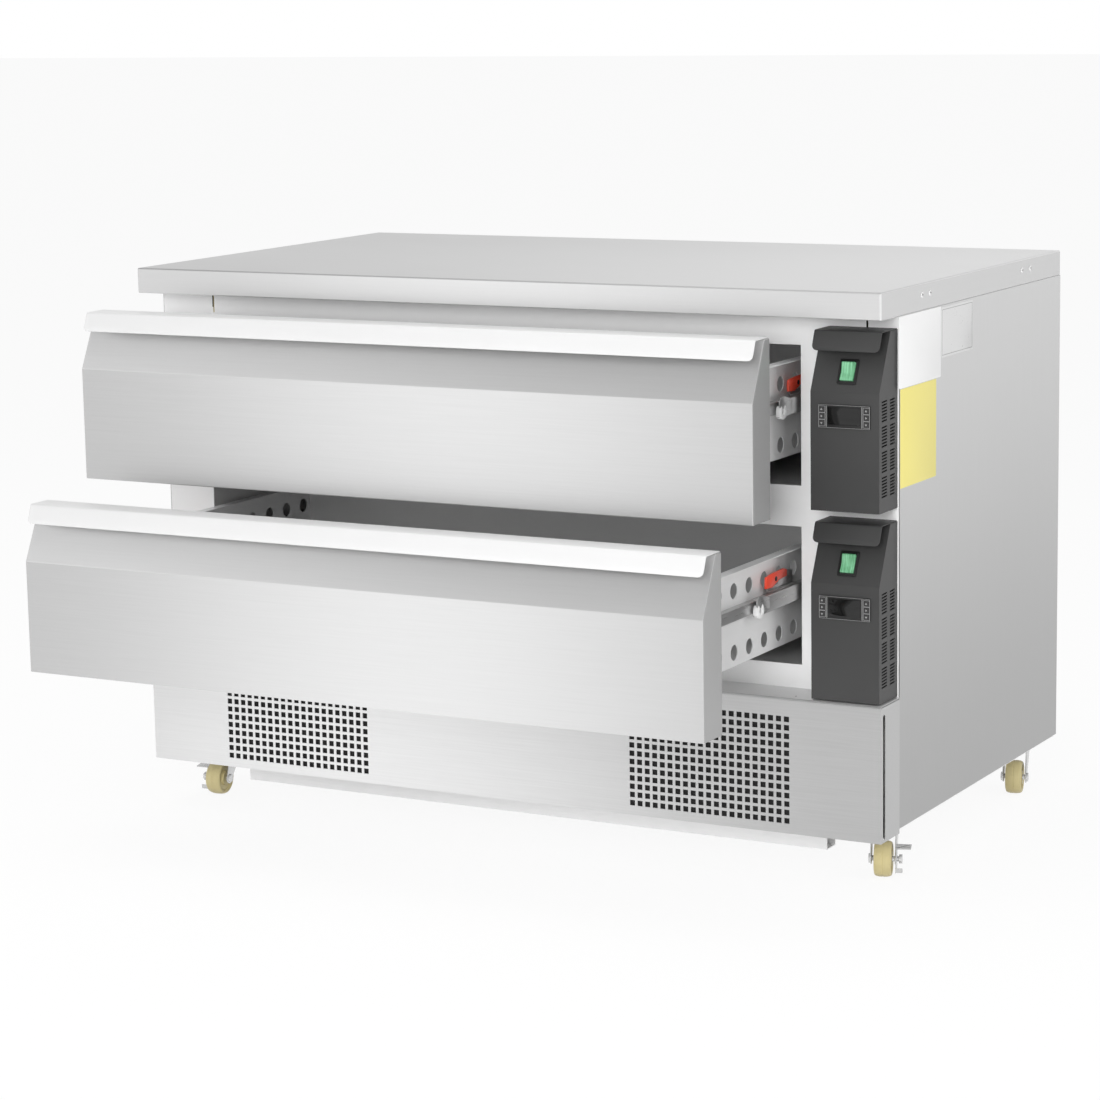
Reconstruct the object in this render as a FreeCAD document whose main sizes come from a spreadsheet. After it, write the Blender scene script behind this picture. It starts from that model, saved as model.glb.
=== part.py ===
import FreeCAD, Part
import math
import operator
import os
import Sketcher

# Refrigerated drawer counter: a stainless worktop on an insulated cabinet with
# two full-width drawers on telescopic slides, two control boxes and a machine
# compartment on four swivel casters. The bench frame used for every size below
# starts at the left side, the worktop's front face and the foot of the lower
# front panel; place() moves it to the floor under the middle of the counter.

doc = FreeCAD.newDocument("drawer_counter")
sheet = doc.addObject("Spreadsheet::Sheet", "Sizes")
vector = FreeCAD.Vector
nodes = {}


class Size:
    """A length that keeps its number together with the sheet formula behind it."""

    def __init__(self, number, formula=None):
        self.number = float(number)
        self.formula = formula or repr(float(number))

    def combine(self, other, sign, swap=False):
        other = other if isinstance(other, Size) else Size(other)
        first, second = (other, self) if swap else (self, other)
        work = {"+": operator.add, "-": operator.sub, "*": operator.mul, "/": operator.truediv}
        return Size(work[sign](first.number, second.number), f"({first.formula} {sign} {second.formula})")

    def __add__(self, other):
        return self.combine(other, "+")

    def __radd__(self, other):
        return self.combine(other, "+", swap=True)

    def __sub__(self, other):
        return self.combine(other, "-")

    def __rsub__(self, other):
        return self.combine(other, "-", swap=True)

    def __mul__(self, other):
        return self.combine(other, "*")

    def __rmul__(self, other):
        return self.combine(other, "*", swap=True)

    def __truediv__(self, other):
        return self.combine(other, "/")

    def __neg__(self):
        return self.combine(0, "-", swap=True)


def size(alias, number, note):
    """Write one driving dimension into the sheet and hand back its Size."""
    row = size.row
    size.row += 1
    sheet.set(f"A{row}", alias)
    sheet.set(f"B{row}", str(number))
    sheet.set(f"C{row}", note)
    sheet.setAlias(f"B{row}", alias)
    return Size(number, f"Sizes.{alias}")


size.row = 1

# Driving dimensions, in millimetres and degrees.
width = size("cabinet_width", 1225, "left side to right side")
depth = size("cabinet_depth", 700, "worktop front to back")
top = size("worktop_top", 766, "foot of the lower front panel to the worktop's face")
worktop_edge = size("worktop_edge", 38, "depth of the folded worktop edge")
ledge = size("ledge_depth", 66, "how far the cabinet body stands back behind the worktop")
panel_top = size("lower_panel_top", 194, "height of the lower front panel")
skin = size("skin", 1.5, "sheet steel")
side_foot = size("side_foot", 7, "foot of the side panels")
opening_left = size("opening_left", 81, "left edge of the drawer openings")
opening_width = size("opening_width", 995.5, "clear width of a drawer opening")
opening_height = size("opening_height", 198, "clear height of a drawer opening")
upper_opening = size("upper_opening", 485, "bottom of the upper opening")
lower_opening = size("lower_opening", 229, "bottom of the lower opening")
liner_back = size("liner_back", 650, "inner face of the liner's back wall")
foam_right = size("foam_right", 1138, "right face of the insulation, beside the wiring duct")
drawer_width = size("drawer_width", 1103, "width of a drawer front")
front_depth = size("front_depth", 56, "thickness of a drawer front")
front_height = size("front_height", 247, "height of a drawer front")
crease = size("crease", 165, "height of the crease where the slope starts")
slope_depth = size("slope_depth", 39, "how far the slope runs back")
front_gap = size("front_gap", 2, "closed drawer front behind the worktop's face")
upper_front = size("upper_front", 463, "bottom of the upper drawer front")
lower_front = size("lower_front", 197, "bottom of the lower drawer front")
upper_open = size("upper_open", 151, "upper drawer's opening at rest")
lower_open = size("lower_open", 306, "lower drawer's opening at rest")
lip_drop = size("lip_drop", 27, "height of the handle lip")
lip_lean = size("lip_lean", 11, "how far the lip leans forward")
lip_setback = size("lip_setback", 4, "lip's lower edge behind the drawer front's face")
lip_inset = size("lip_inset", 2, "handle short of the drawer front at each end")
lip_corner = size("lip_corner", 8, "radius of the lip's lower corners")
gasket_width = size("gasket_width", 14, "width of the door seal")
gasket_depth = size("gasket_depth", 7.4, "depth of the door seal")
rail_space = size("rail_space", 22.5, "room for a slide between liner and basket")
basket_depth = size("basket_depth", 550, "front to back of a basket")
basket_rise = size("basket_rise", 62, "basket's lower edge above the front's lower edge")
basket_height = size("basket_height", 136, "height of the basket walls")
basket_flange = size("basket_flange", 15, "width of the basket's top flange")
hole_radius = size("hole_radius", 11, "air holes in the basket walls")
hole_pitch = size("hole_pitch", 60.9, "spacing of the air holes")
first_hole = size("first_hole", 42, "first air hole behind the basket's front")
lower_hole_row = size("lower_hole_row", 19, "lower row of air holes above the basket's edge")
upper_hole_row = size("upper_hole_row", 106, "upper row of air holes above the basket's edge")
rail_rise = size("rail_rise", 137, "middle of a slide above the front's lower edge")
rail_front = size("rail_front", 126, "front end of a cabinet rail")
rail_back = size("rail_back", 612, "back end of the closed slides")
middle_front = size("middle_front", 80, "front end of a closed middle rail")
outer_half = size("outer_half", 16, "half the height of a cabinet rail")
middle_half = size("middle_half", 12, "half the height of a middle rail")
inner_half = size("inner_half", 8.5, "half the height of a drawer rail")
control_left = size("control_left", 1119.5, "left side of the control boxes")
control_width = size("control_width", 102, "width of a control box")
bezel_width = size("switch_bezel_width", 29, "rocker switch frame, across")
bezel_length = size("switch_bezel_length", 34, "rocker switch frame, along the slope")
controller_width = size("controller_width", 77, "thermostat face, across")
controller_height = size("controller_height", 33, "thermostat face, upwards")
controller_rise = size("controller_rise", 132, "middle of the thermostat above the box's foot")
key_width = size("key_width", 8, "thermostat key, across")
key_height = size("key_height", 7.6, "thermostat key, upwards")
key_pitch = size("key_pitch", 9.4, "spacing of the thermostat keys")
vent_inset = size("vent_inset", 143, "vent field from the nearer side")
vent_foot = size("vent_foot", 14, "lower edge of the vent fields")
vent_pitch = size("vent_pitch", 43, "spacing of the vent openings")
vent_opening = size("vent_opening", 31, "side of a vent opening")
pan_gap = size("pan_gap", 4, "underside of the base pan above the panel's foot")
channel_drop = size("channel_drop", 46, "height of the stiffening channel under the pan")
channel_inset = size("channel_inset", 119, "channel's ends from the sides")
caster_height = size("caster_height", 80, "floor to the casters' mounting face")
caster_inset = size("caster_inset", 46, "swivel axes from the sides")
front_caster = size("front_caster", 122, "front swivel axes from the worktop's face")
rear_caster = size("rear_caster", 648, "rear swivel axes from the worktop's face")
wheel_radius = size("wheel_radius", 26, "caster wheel")
wheel_width = size("wheel_width", 25, "caster wheel")
trail = size("caster_trail", 20, "axle behind the swivel axis")
running = size("running_clearance", 0.05, "radial clearance of a pin in its bore")
doc.recompute()

# The floor lies under the lower panel's foot, and the origin under the middle
# of the box round the counter as it stands, with the lower drawer pulled out.
foot = caster_height - pan_gap
middle = (depth + front_gap - lower_open) / 2
body_top = top - worktop_edge


def bind(item, field, length):
    """Drive one property from the sheet."""
    length = length if isinstance(length, Size) else Size(length)
    item.setExpression(field, length.formula)


def place(item, across, back, up, axis=(0, 0, 1), angle=0.0):
    """Put an item's own origin at a bench point, turned about an axis."""
    item.Placement = FreeCAD.Placement(vector(), FreeCAD.Rotation(vector(*axis), angle))
    bind(item, "Placement.Base.x", across - width / 2)
    bind(item, "Placement.Base.y", back - middle)
    bind(item, "Placement.Base.z", up + foot)
    return item


def block(name, corner, extent):
    """A rectangular block from its lowest corner and its three lengths."""
    item = doc.addObject("Part::Box", name)
    for field, length in zip(("Length", "Width", "Height"), extent):
        bind(item, field, length)
    return place(item, *corner)


def rod(name, start, radius, length, axis="z"):
    """A cylinder that starts at a bench point and runs along an axis."""
    item = doc.addObject("Part::Cylinder", name)
    bind(item, "Radius", radius)
    bind(item, "Height", length)
    turn = {"x": ((0, 1, 0), 90), "y": ((1, 0, 0), -90), "z": ((0, 0, 1), 0)}[axis]
    return place(item, *start, axis=turn[0], angle=turn[1])


def group(name, items):
    """Separate solids that count as one item."""
    item = doc.addObject("Part::Compound", name)
    item.Links = items
    return item


def fuse(name, items):
    """Items welded into one solid."""
    item = doc.addObject("Part::MultiFuse", name)
    item.Shapes = items
    item.Refine = True
    return item


def cut(name, base, tools):
    """A base with tools taken out of it."""
    item = doc.addObject("Part::Cut", name)
    item.Base = base
    item.Tool = tools[0] if len(tools) == 1 else group(f"{name}_tools", tools)
    item.Refine = True
    return item


def common(name, base, tool):
    """What two items share."""
    item = doc.addObject("Part::Common", name)
    item.Base = base
    item.Tool = tool
    return item


def node(label, item):
    """Name a finished sub-part."""
    item.Label = label
    nodes[label] = item
    return item


def new_sketch(body, role, name):
    """A sketch on one of the body's own origin planes."""
    sketch = body.newObject("Sketcher::SketchObject", name)
    plane = [feature for feature in body.Origin.OriginFeatures if feature.Role == role][0]
    sketch.AttachmentSupport = [(plane, "")]
    sketch.MapMode = "FlatFace"
    return sketch


def outline(sketch, corners, tag="p"):
    """A closed outline. A corner is (u, v), or (u, v, mid_u, mid_v) where the edge
    that leaves it is an arc through the middle point. Each point is held at two
    named distances from the sketch's origin."""
    spots = [[value if isinstance(value, Size) else Size(value) for value in corner] for corner in corners]
    points = [vector(spot[0].number, spot[1].number, 0) for spot in spots]
    curves = []
    for index, spot in enumerate(spots):
        start, end = points[index], points[(index + 1) % len(points)]
        if len(spot) == 4:
            curves.append(Part.Arc(start, vector(spot[2].number, spot[3].number, 0), end))
        else:
            curves.append(Part.LineSegment(start, end))
    edges = sketch.addGeometry(curves, False)
    ends = []
    for edge, start in zip(edges, points):
        geometry = sketch.Geometry[edge]
        forward = geometry.StartPoint.distanceToPoint(start) < geometry.EndPoint.distanceToPoint(start)
        ends.append((1, 2) if forward else (2, 1))
    constraints = []
    named = []

    def hold(edge, end, point, name):
        for kind, letter, length in zip(("DistanceX", "DistanceY"), "xy", point):
            constraints.append(Sketcher.Constraint(kind, -1, 1, edge, end, length.number))
            named.append((len(constraints) - 1, f"{name}{letter}", length))

    for index, edge in enumerate(edges):
        following = (index + 1) % len(edges)
        joint = (edge, ends[index][1], edges[following], ends[following][0])
        constraints.append(Sketcher.Constraint("Coincident", *joint))
        hold(edge, ends[index][0], spots[index][:2], f"{tag}{index}")
    for index, (edge, spot) in enumerate(zip(edges, spots)):
        if len(spot) == 4:
            guide = sketch.addGeometry(Part.Point(vector(spot[2].number, spot[3].number, 0)), True)
            hold(guide, 1, spot[2:], f"{tag}{index}m")
            constraints.append(Sketcher.Constraint("PointOnObject", guide, 1, edge))
    rows = sketch.addConstraint(constraints)
    for number, name, length in named:
        sketch.renameConstraint(rows[number], name)
        if "Sizes." in length.formula:
            sketch.setExpression(f"Constraints.{name}", length.formula)


def pad(name, role, corners, length, reverse=False):
    """A body made by padding one outline from one of its origin planes."""
    body = doc.addObject("PartDesign::Body", name)
    sketch = new_sketch(body, role, f"{name}_outline")
    outline(sketch, corners)
    feature = body.newObject("PartDesign::Pad", f"{name}_pad")
    feature.Profile = sketch
    feature.Reversed = reverse
    bind(feature, "Length", length)
    doc.recompute()
    return body


def soften(body, radius, picks):
    """Round the straight edges of a body that pick() accepts by their two ends."""
    feature = body.Tip
    names = []
    for number, edge in enumerate(feature.Shape.Edges, start=1):
        if len(edge.Vertexes) == 2 and picks(edge.Vertexes[0].Point, edge.Vertexes[1].Point):
            names.append(f"Edge{number}")
    if not names:
        raise ValueError(f"no edge to round on {body.Name}")
    rounding = body.newObject("PartDesign::Fillet", f"{body.Name}_round{len(body.Group)}")
    rounding.Base = (feature, names)
    bind(rounding, "Radius", radius)
    body.Tip = rounding
    doc.recompute()


def through(*spot):
    """Accept edges along X that pass a height and a depth in the body's own frame."""
    back, up = (value.number if isinstance(value, Size) else value for value in spot)

    def accept(first, second):
        along = abs(first.x - second.x) > 1
        return along and all(abs(end.y - back) < 0.01 and abs(end.z - up) < 0.01 for end in (first, second))

    return accept


# Worktop: one folded sheet of stainless steel, open underneath behind its front
# return, where the cabinet's insulation fills it.
worktop_sheet = block("worktop_sheet", (Size(0), Size(0), body_top), (width, depth, worktop_edge))
doc.recompute()
worktop_rounded = doc.addObject("Part::Fillet", "worktop_rounded")
worktop_rounded.Base = worktop_sheet
bend = 2.5
bend_edges = []
for number, edge in enumerate(worktop_sheet.Shape.Edges, start=1):
    first, second = (vertex.Point for vertex in edge.Vertexes)
    along = abs(first.x - second.x) > 1
    if along and min(first.z, second.z) > (top + foot).number - 0.01:
        bend_edges.append((number, bend, bend))
worktop_rounded.Edges = bend_edges
worktop_hollow = block(
    "worktop_hollow", (skin, skin, body_top + skin), (
        width - 2 * skin, depth - 2 * skin, worktop_edge - 2 * skin
    )
)
worktop_mouth = block(
    "worktop_mouth", (skin, ledge, body_top), (width - 2 * skin, depth - ledge - skin, skin)
)
node("worktop", cut("worktop_shell", worktop_rounded, [worktop_hollow, worktop_mouth]))

# Side panels: flat sheets with a return folded behind the rear panel.
side_depth = depth - ledge
side_height = body_top - side_foot
side_return = 15
left_side = pad(
    "left_side",
    "XY_Plane",
    [
        (0, 0),
        (skin, 0),
        (skin, side_depth - skin),
        (side_return, side_depth - skin),
        (side_return, side_depth),
        (0, side_depth),
    ],
    side_height,
)
node("left_side_panel", place(left_side, Size(0), ledge, side_foot))
right_side = pad(
    "right_side",
    "XY_Plane",
    [
        (side_return - skin, 0),
        (side_return, 0),
        (side_return, side_depth),
        (0, side_depth),
        (0, side_depth - skin),
        (side_return - skin, side_depth - skin),
    ],
    side_height,
)
node("right_side_panel", place(right_side, width - side_return, ledge, side_foot))

# Rear panel: a flat sheet between the sides, louvred at the machine compartment.
louvre_rows = 6
louvre_length = 260
louvre_pitch = 20
rear_sheet = block(
    "rear_sheet", (skin, depth - 2 * skin, side_foot), (width - 2 * skin, skin, side_height)
)
louvres = []
for row in range(louvre_rows):
    for number, left in enumerate((vent_inset, width - vent_inset - louvre_length)):
        louvres.append(
            block(
                f"louvre_{number}_{row}",
                (left, depth - 3 * skin, Size(45 + louvre_pitch * row)),
                (Size(louvre_length), 3 * skin, Size(6)),
            )
        )
node("rear_panel", cut("rear_shell", rear_sheet, louvres))

# Face frame: two columns and three rails round the two drawer openings, welded
# from flat sheet, with the two narrow slots of the top rail.
opening_right = opening_left + opening_width
frame_height = body_top - panel_top
upper_opening_top = upper_opening + opening_height
lower_opening_top = lower_opening + opening_height
strip_slot = (Size(2.5), 3 * skin, Size(26))
top_rail = cut(
    "top_rail",
    block(
        "top_rail_sheet",
        (opening_left, ledge, upper_opening_top),
        (opening_width, skin, body_top - upper_opening_top),
    ),
    [block("left_strip_slot", (opening_left + 11, ledge - skin, upper_opening_top + 12), strip_slot)],
)
right_column = cut(
    "right_column",
    block(
        "right_column_sheet",
        (opening_right, ledge, panel_top),
        (width - skin - opening_right, skin, frame_height),
    ),
    [block("right_strip_slot", (control_left + 56, ledge - skin, upper_opening_top + 12), strip_slot)],
)
left_column = block("left_column", (skin, ledge, panel_top), (opening_left - skin, skin, frame_height))
mullion = block(
    "mullion", (opening_left, ledge, lower_opening_top), (
        opening_width, skin, upper_opening - lower_opening_top
    )
)
sill = block("sill", (opening_left, ledge, panel_top), (opening_width, skin, lower_opening - panel_top))
node("face_frame", group("frame_members", [left_column, right_column, top_rail, mullion, sill]))

# Liners: one deep-drawn steel box behind each opening.
liners = []
for level, opening in (("upper", upper_opening), ("lower", lower_opening)):
    shell = block(
        f"{level}_liner_shell",
        (opening_left - skin, ledge + skin, opening - skin),
        (opening_width + 2 * skin, liner_back - ledge, opening_height + 2 * skin),
    )
    space = block(
        f"{level}_liner_space",
        (opening_left, ledge + skin, opening),
        (opening_width, liner_back - ledge - skin, opening_height),
    )
    liners.append(cut(f"{level}_liner", shell, [space]))
node("cabinet_liners", group("liner_pair", liners))

# Insulation: six foam slabs round and between the liners.
foam_left = skin
foam_front = ledge + skin
foam_back = depth - 2 * skin
foam_behind = liner_back + skin
foam_width = foam_right - foam_left
lower_slab = block(
    "floor_slab",
    (foam_left, foam_front, panel_top),
    (foam_width, foam_back - foam_front, lower_opening - skin - panel_top),
)
upper_slab = block(
    "roof_slab",
    (foam_left, foam_front, upper_opening_top + skin),
    (foam_width, foam_back - foam_front, top - 2 * skin - upper_opening_top),
)
wall_foot = lower_opening - skin
wall_height = upper_opening_top - lower_opening + 2 * skin
back_slab = block(
    "back_slab", (foam_left, foam_behind, wall_foot), (foam_width, foam_back - foam_behind, wall_height)
)
left_slab = block(
    "left_slab",
    (foam_left, foam_front, wall_foot),
    (opening_left - skin - foam_left, foam_behind - foam_front, wall_height),
)
right_slab = block(
    "right_slab",
    (opening_right + skin, foam_front, wall_foot),
    (foam_right - opening_right - skin, foam_behind - foam_front, wall_height),
)
middle_slab = block(
    "middle_slab",
    (opening_left - skin, foam_front, lower_opening_top + skin),
    (opening_width + 2 * skin, foam_behind - foam_front, upper_opening - lower_opening_top - 2 * skin),
)
node(
    "insulation",
    group("foam_slabs", [lower_slab, upper_slab, back_slab, left_slab, right_slab, middle_slab]),
)

# Lower front panel: a sheet with two fields of square vent openings, folded back
# into a ledge and two slotted side returns.
vent_columns = 6
vent_rows = 4
panel_body = doc.addObject("PartDesign::Body", "lower_panel_sheet")
panel_sketch = new_sketch(panel_body, "XZ_Plane", "lower_panel_outline")
outline(panel_sketch, [(0, 0), (width, 0), (width, panel_top), (0, panel_top)])
panel_pad = panel_body.newObject("PartDesign::Pad", "lower_panel_pad")
panel_pad.Profile = panel_sketch
panel_pad.Reversed = True
bind(panel_pad, "Length", skin)
doc.recompute()
vent_sketch = new_sketch(panel_body, "XZ_Plane", "vent_row")
field_width = vent_pitch * (vent_columns - 1) + vent_opening
for side, field_left in enumerate((vent_inset, width - vent_inset - field_width)):
    for column in range(vent_columns):
        left = field_left + vent_pitch * column
        right = left + vent_opening
        high = vent_foot + vent_opening
        outline(
            vent_sketch,
            [(left, vent_foot), (right, vent_foot), (right, high), (left, high)],
            tag=f"s{side}c{column}e",
        )
vent_pocket = panel_body.newObject("PartDesign::Pocket", "vent_pocket")
vent_pocket.Profile = vent_sketch
vent_pocket.Type = 1
vent_pocket.Midplane = True
doc.recompute()
vent_pattern = panel_body.newObject("PartDesign::LinearPattern", "vent_rows")
vent_pattern.Originals = [vent_pocket]
vent_pattern.Direction = (vent_sketch, ["V_Axis"])
bind(vent_pattern, "Length", vent_pitch * (vent_rows - 1))
vent_pattern.Occurrences = vent_rows
panel_body.Tip = vent_pattern
doc.recompute()
vent_area = 2 * vent_columns * vent_rows * vent_opening.number ** 2
vent_loss = panel_pad.Shape.Volume - vent_pattern.Shape.Volume
if abs(vent_loss - vent_area * skin.number) > 1:
    raise ValueError("the vent openings aren't all cut")
place(panel_body, Size(0), Size(0), Size(0))
panel_ledge = block("panel_ledge", (Size(0), skin, panel_top - skin), (width, ledge - skin, skin))
returns = []
for side, across in (("left", Size(0)), ("right", width - skin)):
    sheet_return = block(
        f"{side}_return_sheet", (across, skin, Size(0)), (skin, ledge - skin, panel_top - skin)
    )
    slot = block(
        f"{side}_return_slot", (across - skin, Size(7), Size(0)), (3 * skin, Size(8), panel_top - 24)
    )
    slot_end = rod(f"{side}_slot_end", (across - skin, Size(11), panel_top - 24), Size(4), 3 * skin, axis="x")
    returns.append(cut(f"{side}_return", sheet_return, [slot, slot_end]))
node("lower_front_panel", fuse("lower_panel_folds", [panel_body, panel_ledge] + returns))

# Base pan: a shallow tray that carries the machine compartment, with a channel
# spot-welded under its front to stiffen it between the casters.
pan_depth = depth - 4 * skin - 2
pan_edge = 24
pan_inset = 2 * skin
base_tray = pad(
    "base_tray",
    "YZ_Plane",
    [
        (0, 0),
        (pan_depth, 0),
        (pan_depth, pan_edge),
        (pan_depth - skin, pan_edge),
        (pan_depth - skin, skin),
        (skin, skin),
        (skin, pan_edge),
        (0, pan_edge),
    ],
    width - 2 * pan_inset,
)
place(base_tray, pan_inset, pan_inset, pan_gap)
channel_width = 30
base_channel = pad(
    "base_channel",
    "YZ_Plane",
    [
        (0, 0),
        (channel_width, 0),
        (channel_width, channel_drop),
        (channel_width - skin, channel_drop),
        (channel_width - skin, skin),
        (skin, skin),
        (skin, channel_drop),
        (0, channel_drop),
    ],
    width - 2 * channel_inset,
)
place(base_channel, channel_inset, ledge + 18, pan_gap - channel_drop)
node("base_pan", fuse("base_pan_folds", [base_tray, base_channel]))

# Compressor: a pressed steel can with a domed lid on a foot plate with four
# rubber feet.
pan_face = pan_gap + skin
can_radius = 74
can_foot = 14
can_top = 148
compressor_x = Size(700)
compressor_y = Size(330)
can = rod(
    "compressor_can",
    (compressor_x, compressor_y, pan_face + can_foot),
    Size(can_radius),
    Size(can_top - can_foot),
)
foot_plate = block(
    "compressor_plate",
    (compressor_x - 105, compressor_y - 60, pan_face + 10),
    (Size(210), Size(120), Size(4)),
)
rubber_feet = []
for number, (left, near) in enumerate(((-90, -45), (90, -45), (-90, 45), (90, 45))):
    foot_corner = (compressor_x + left - 10, compressor_y + near - 10, pan_face)
    rubber_feet.append(block(f"rubber_foot_{number}", foot_corner, (Size(20), Size(20), Size(10))))
node("compressor", fuse("compressor_unit", [can, foot_plate] + rubber_feet))

# Condenser: a finned coil behind the left vent with its fan shroud, the fan's
# motor on three arms and the motor shaft.
coil_left = vent_inset + 5
coil_width = 244
coil_height = 158
coil_front = 22
coil_depth = 40
fin_groove = 3
shroud_front = Size(coil_front + coil_depth)
fan_x = coil_left + coil_width / 2
fan_z = pan_face + 8 + coil_height / 2
fan_tip = 62
shaft_radius = 3
coil = block(
    "condenser_coil",
    (coil_left, Size(coil_front), pan_face),
    (Size(coil_width), Size(coil_depth), Size(coil_height + 8)),
)
grooves = [
    block(
        f"fin_groove_{number}",
        (coil_left + 16 + 34 * number, Size(coil_front - 1), pan_face + 8),
        (Size(fin_groove), Size(11), Size(coil_height - 8)),
    )
    for number in range(7)
]
duct = rod("condenser_duct", (fan_x, Size(coil_front + 10), fan_z), Size(fan_tip + 3), Size(60), axis="y")
shroud = block(
    "condenser_shroud",
    (coil_left, shroud_front, pan_face),
    (Size(coil_width), Size(24), Size(coil_height + 8)),
)
motor = block("condenser_motor", (fan_x - 30, shroud_front + 29, fan_z - 30), (Size(60), Size(44), Size(60)))
shaft = rod("condenser_shaft", (fan_x, shroud_front + 6, fan_z), Size(shaft_radius), Size(23), axis="y")
arm_y = shroud_front + 26
motor_bar = block("motor_bar", (fan_x - 75, arm_y, fan_z - 6), (Size(150), Size(3), Size(12)))
motor_legs = [
    block(f"motor_leg_{number}", (fan_x + across, shroud_front + 20, fan_z - 6), (Size(6), Size(9), Size(12)))
    for number, across in enumerate((-75, 69))
]
condenser_shell = cut("condenser_shell", fuse("condenser_block", [coil, shroud]), [duct] + grooves)
node("condenser", fuse("condenser_unit", [condenser_shell, motor, shaft, motor_bar] + motor_legs))


def fan(label, x, y, z, tip, hub, length, blades, pitch):
    """A plastic axial fan on a shaft along Y: a bored hub and flat pitched blades."""
    hub_rod = rod(f"{label}_hub", (x, y, z), hub, length, axis="y")
    chord = hub.number * 1.5
    reach = math.sqrt(tip.number ** 2 - (chord / 2) ** 2)
    vanes = []
    for number in range(blades):
        vane = doc.addObject("Part::Box", f"{label}_vane_{number}")
        bind(vane, "Length", Size(reach))
        bind(vane, "Width", Size(blade_thickness))
        bind(vane, "Height", Size(chord))
        around = FreeCAD.Rotation(vector(0, 1, 0), 360.0 * number / blades)
        turn = around.multiply(FreeCAD.Rotation(vector(1, 0, 0), pitch))
        offset = turn.multVec(vector(0, -blade_thickness / 2, -chord / 2))
        vane.Placement = FreeCAD.Placement(vector(), turn)
        bind(vane, "Placement.Base.x", x + offset.x - width / 2)
        bind(vane, "Placement.Base.y", y + length / 2 + offset.y - middle)
        bind(vane, "Placement.Base.z", z + offset.z + foot)
        vanes.append(vane)
    bore = rod(f"{label}_bore", (x, y - 2, z), Size(shaft_radius) + running, length + 4, axis="y")
    node(label, cut(f"{label}_bored", fuse(f"{label}_wheel", [hub_rod] + vanes), [bore]))


blade_thickness = 1.6
fan("condenser_fan", fan_x, shroud_front + 5, fan_z, Size(fan_tip), Size(17), Size(16), 4, 62)

# Evaporators: a slim finned coil and a fan in one frame against the back wall of
# each liner, with the fan's motor and shaft.
unit_left = opening_left + 55
unit_width = 880
unit_depth = 34
unit_height = 132
fan_bay = 160
cool_tip = 56
evaporators = []
for level, opening in (("upper", upper_opening), ("lower", lower_opening)):
    unit_front = liner_back - unit_depth
    unit_foot = opening + 30
    cool_x = unit_left + unit_width - fan_bay / 2
    cool_z = unit_foot + unit_height / 2
    casing = block(
        f"{level}_unit",
        (unit_left, unit_front, unit_foot),
        (Size(unit_width), Size(unit_depth), Size(unit_height)),
    )
    bay = rod(
        f"{level}_bay", (cool_x, unit_front - 1, cool_z), Size(cool_tip + 3), Size(unit_depth - 1), axis="y"
    )
    slots = [
        block(
            f"{level}_coil_slot_{number}",
            (unit_left + 20 + 174 * number, unit_front - 1, unit_foot + 12),
            (Size(154), Size(9), Size(unit_height - 24)),
        )
        for number in range(4)
    ]
    stator = block(
        f"{level}_motor", (cool_x - 22, liner_back - 14, cool_z - 22), (Size(44), Size(14), Size(44))
    )
    spindle = rod(
        f"{level}_spindle",
        (cool_x, unit_front + 3, cool_z),
        Size(shaft_radius),
        Size(unit_depth - 17),
        axis="y",
    )
    opened = cut(f"{level}_unit_opened", casing, [bay] + slots)
    evaporators.append(fuse(f"{level}_evaporator", [opened, stator, spindle]))
    fan(
        f"{level}_evaporator_fan", cool_x, unit_front + 4.5, cool_z, Size(cool_tip), Size(12), Size(10), 3, 52
    )
node("evaporators", group("evaporator_pair", evaporators))


def folded_case(name, across, back, up, length, case_depth):
    """A folded sheet case with the drawer fronts' outline: an upright face, a
    slope above the crease and a flat top, closed at the ends and open behind."""
    face = pad(
        f"{name}_face",
        "YZ_Plane",
        [(0, 0), (case_depth, 0), (case_depth, front_height), (slope_depth, front_height), (0, crease)],
        length,
    )
    hollow = pad(
        f"{name}_hollow",
        "YZ_Plane",
        [
            (skin, skin),
            (case_depth, skin),
            (case_depth, front_height - skin),
            (slope_depth + skin, front_height - skin),
            (skin, crease),
        ],
        length - 2 * skin,
    )
    place(face, across, back, up)
    place(hollow, across + skin, back, up)
    return face, hollow


def lip(name, across, back, up, length, plate_depth):
    """The handle strip: a flat plate on the top of a case, folded down into a lip
    that leans forward over the slope, with rounded lower corners."""
    fold = lip_setback + lip_lean
    reach = lip_drop - skin
    strip = pad(
        f"{name}_strip",
        "YZ_Plane",
        [
            (plate_depth - lip_setback, reach),
            (plate_depth - lip_setback, lip_drop),
            (lip_lean, lip_drop),
            (0, 0),
            (skin, 0),
            (lip_lean + skin, reach),
        ],
        length,
    )
    soften(strip, Size(3), through(lip_lean, lip_drop))
    soften(strip, Size(1.5), through(lip_lean + skin, reach))
    turn = lip_corner * (1 - math.sqrt(0.5))
    blank = pad(
        f"{name}_blank",
        "XZ_Plane",
        [
            (lip_corner, 0),
            (length - lip_corner, 0, length - turn, turn),
            (length, lip_corner),
            (length, lip_drop),
            (0, lip_drop),
            (0, lip_corner, turn, turn),
        ],
        plate_depth,
        reverse=True,
    )
    for item in (strip, blank):
        place(item, across, back + lip_setback, up + skin - lip_drop)
    return common(name, strip, blank)


# Control boxes: two dark folded cases beside the drawers, with the same slope
# and lip as the drawer fronts, a switch hole, a thermostat hole and side slots.
slope_angle = math.degrees(math.atan2(slope_depth.number, (front_height - crease).number))
control_x = control_left + control_width / 2
switch_along = 30.0
lean = math.radians(slope_angle)
switch_back = front_gap + switch_along * math.sin(lean)
switch_up = crease + switch_along * math.cos(lean)
control_depth = ledge - front_gap
box_foot = {"upper": upper_front, "lower": lower_front}
hole_margin = 2
slot_rows = 3
control_boxes = []


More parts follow.
